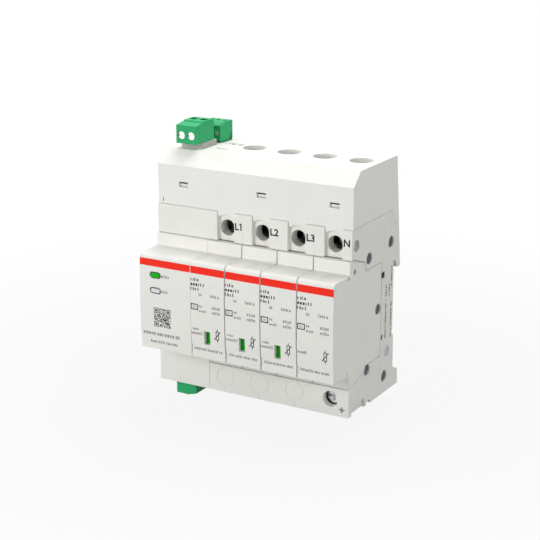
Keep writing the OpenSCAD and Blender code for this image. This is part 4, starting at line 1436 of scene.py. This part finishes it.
@dataclass
class Terminals:
    """The clamps, their screws and the contact strips.

    Attributes:
        shop: The workshop.
    """

    shop: Workshop

    def build(self) -> None:
        """Dress the terminals' metal pieces."""
        for k in range(1, POLES + 1):
            self.shop.dress(f"line_contact_{k}", COPPER)
            self.shop.dress(f"line_clamp_{k}", CLAMP)
            self.shop.dress(f"line_screw_{k}", SCREW)
        self.shop.dress("earth_bar", COPPER)
        self.shop.dress("earth_clamp", CLAMP)
        self.shop.dress("earth_screw", SCREW)
        self.shop.dress("rail_clip_left", CLAMP)
        self.shop.dress("rail_clip_right", CLAMP)


@dataclass
class Plugs:
    """The signal plugs with their headers and screws.

    Attributes:
        shop: The workshop.
    """

    # The radius of the plugs' edges
    EDGE: ClassVar[float] = 0.1 * MM
    SCREWS: ClassVar[tuple[str, ...]] = (
        "supply_screw_1", "supply_screw_2",
        "relay_screw_1", "relay_screw_2", "relay_screw_3",
        "bus_plug_screws",
    )

    shop: Workshop

    def build(self) -> None:
        """Round the plugs and headers and dress the screws."""
        for name in ("supply", "relay", "bus"):
            self.shop.rounded(f"{name}_header", self.EDGE, GREY, "header")
            self.shop.rounded(f"{name}_plug", self.EDGE, GREEN, "plug", self.is_long)
        for screw in self.SCREWS:
            self.shop.dress(screw, SCREW)

    @staticmethod
    def is_long(edge: Edge) -> bool:
        """Tell whether an edge is one of a plug's main edges, by its length."""
        return edge.calc_length() > 2.5 * MM


@dataclass(frozen=True)
class Lamp:
    """A square soft lamp.

    Attributes:
        name: Its name.
        place: Where it hangs, in metres.
        size: The length of its side.
        power: Its power in watts.
    """

    name: str
    place: Triple
    size: float
    power: float

    def hang(self, aim: Vector) -> None:
        """Hang the lamp.

        Args:
            aim: The point that it lights, in metres.
        """
        place = Vector(self.place)
        data = bpy.data.lights.new(self.name, "AREA")
        data.size = self.size
        data.energy = self.power
        obj = bpy.data.objects.new(self.name, data)
        obj.location = place
        obj.rotation_mode = "QUATERNION"
        obj.rotation_quaternion = (aim - place).to_track_quat("-Z", "Y")
        bpy.context.scene.collection.objects.link(obj)


@dataclass
class Studio:
    """The floor, the lights, the world and the camera.

    Attributes:
        target: The point that the camera looks at, in metres.
        azimuth: The camera's turn to the right of the front, in degrees.
        elevation: Its height above the horizon, in degrees.
        distance: Its distance from the target, in metres.
        lens: Its focal length, in millimetres on a 36 mm sensor.
        roll: Its roll, in degrees.
    """

    LAMPS: ClassVar[tuple[Lamp, ...]] = (
        Lamp("above", (0.0, 0.45, 1.15), 0.8, 15.6),
        Lamp("before", (-0.5, -1.2, 0.35), 0.9, 13.2),
        Lamp("right", (1.2, -0.3, 0.35), 0.9, 7.3),
        Lamp("left", (-1.2, 0.0, 0.6), 0.9, 7.0),
    )
    LIT_POINT: ClassVar[Triple] = (0.0, -0.02, 0.0)
    # How white the floor looks near the object and away from it, and how far from the middle these lie
    WHITE_NEAR: ClassVar[float] = 0.90
    WHITE_AWAY: ClassVar[float] = 1.0
    NEAR: ClassVar[float] = 0.09
    AWAY: ClassVar[float] = 0.30
    # The darkest and lightest tone of the floor's paper, and the size of a patch of it
    PAPER: ClassVar[tuple[float, float]] = (0.29, 0.31)
    PAPER_PATCH: ClassVar[float] = 0.4

    target: Vector = field(default_factory=lambda: Vector((0.00043, -0.0266, 0.0128)))
    azimuth: float = 30.04
    elevation: float = 16.91
    distance: float = 0.62962
    lens: float = 93.63
    roll: float = -0.099

    def build(self, floor_height: float) -> None:
        """Set up everything round the object.

        Args:
            floor_height: The height of the floor, in metres.
        """
        self.floor(floor_height)
        for lamp in self.LAMPS:
            lamp.hang(Vector(self.LIT_POINT))
        self.world()
        self.camera()
        bpy.context.scene.view_settings.view_transform = "Standard"

    def floor(self, height: float) -> None:
        """Lay a wide pale floor.

        Args:
            height: The floor's height, in metres.
        """
        mesh = bmesh.new()
        bmesh.ops.create_grid(mesh, x_segments=1, y_segments=1, size=6.0,
                              matrix=Matrix.Translation((0.0, 0.0, height)))
        data = bpy.data.meshes.new("floor")
        mesh.to_mesh(data)
        mesh.free()
        data.materials.append(self.paper())
        obj = bpy.data.objects.new("floor", data)
        bpy.context.scene.collection.objects.link(obj)
        obj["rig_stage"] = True

    def paper(self) -> bpy.types.Material:
        """Make the floor's paper, white to the camera but for the object's shadow near it.

        Returns:
            The material.
        """
        graph = Graph("floor_paper")
        slow = graph.spread(graph.noise(self.PAPER_PATCH), 0.0, 1.0)
        darkest, lightest = self.PAPER
        graph.paint(graph.tint(slow, (darkest,) * 3, (lightest,) * 3))
        graph.shader.inputs["Roughness"].default_value = 0.9
        graph.shader.inputs["Specular IOR Level"].default_value = 0.1
        glow = graph.tree.nodes.new("ShaderNodeEmission")
        away = graph.tree.nodes.new("ShaderNodeVectorMath")
        away.operation = "LENGTH"
        graph.link(graph.object_place, away.inputs[0])
        white = graph.tree.nodes.new("ShaderNodeMapRange")
        white.inputs["From Min"].default_value = self.NEAR
        white.inputs["From Max"].default_value = self.AWAY
        white.inputs["To Min"].default_value = self.WHITE_NEAR
        white.inputs["To Max"].default_value = self.WHITE_AWAY
        graph.link(away.outputs["Value"], white.inputs["Value"])
        share = graph.calc("MULTIPLY", white.outputs["Result"], seen_directly(graph.tree, 0.0, 1.0))
        mix = graph.tree.nodes.new("ShaderNodeMixShader")
        graph.link(share, mix.inputs["Fac"])
        graph.link(graph.shader.outputs["BSDF"], mix.inputs[1])
        graph.link(glow.outputs["Emission"], mix.inputs[2])
        graph.link(mix.outputs["Shader"], graph.output.inputs["Surface"])
        return graph.material

    @staticmethod
    def world() -> None:
        """Show a white world to the camera, the metal and the glass, which doesn't light the object."""
        world = bpy.data.worlds.new("studio")
        bpy.context.scene.world = world
        world.use_nodes = True
        tree = world.node_tree
        tree.nodes.clear()
        background = tree.nodes.new("ShaderNodeBackground")
        background.inputs["Color"].default_value = (1.0, 1.0, 1.0, 1.0)
        tree.links.new(seen_directly(tree, 0.0, 1.0), background.inputs["Strength"])
        output = tree.nodes.new("ShaderNodeOutputWorld")
        tree.links.new(background.outputs["Background"], output.inputs["Surface"])

    def camera(self) -> None:
        """Stand the camera at the photograph's angle."""
        turn, rise = math.radians(self.azimuth), math.radians(self.elevation)
        back = Vector((math.sin(turn) * math.cos(rise), -math.cos(turn) * math.cos(rise), math.sin(rise)))
        data = bpy.data.cameras.new("camera")
        data.sensor_width = 36.0
        data.lens = self.lens
        obj = bpy.data.objects.new("camera", data)
        obj.rotation_mode = "QUATERNION"
        facing = (-back).to_track_quat("-Z", "Y")
        obj.rotation_quaternion = facing @ Matrix.Rotation(math.radians(self.roll), 3, "Z").to_quaternion()
        obj.location = self.target + back * self.distance
        bpy.context.scene.collection.objects.link(obj)
        bpy.context.scene.camera = obj


def main() -> None:
    """Load the frame, dress each sub-assembly and set up the studio."""
    logging.basicConfig(level=logging.INFO, format="%(name)s: %(message)s")
    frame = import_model()
    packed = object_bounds()
    shop = Workshop(frame["nodes"])
    for part in (Housing(shop), Monitor(shop), Cartridges(shop), Terminals(shop), Plugs(shop)):
        part.build()
    Studio().build(packed[0].z)
    LOG.info("%d new pieces", len(shop.made))


if __name__ == "__main__":
    main()
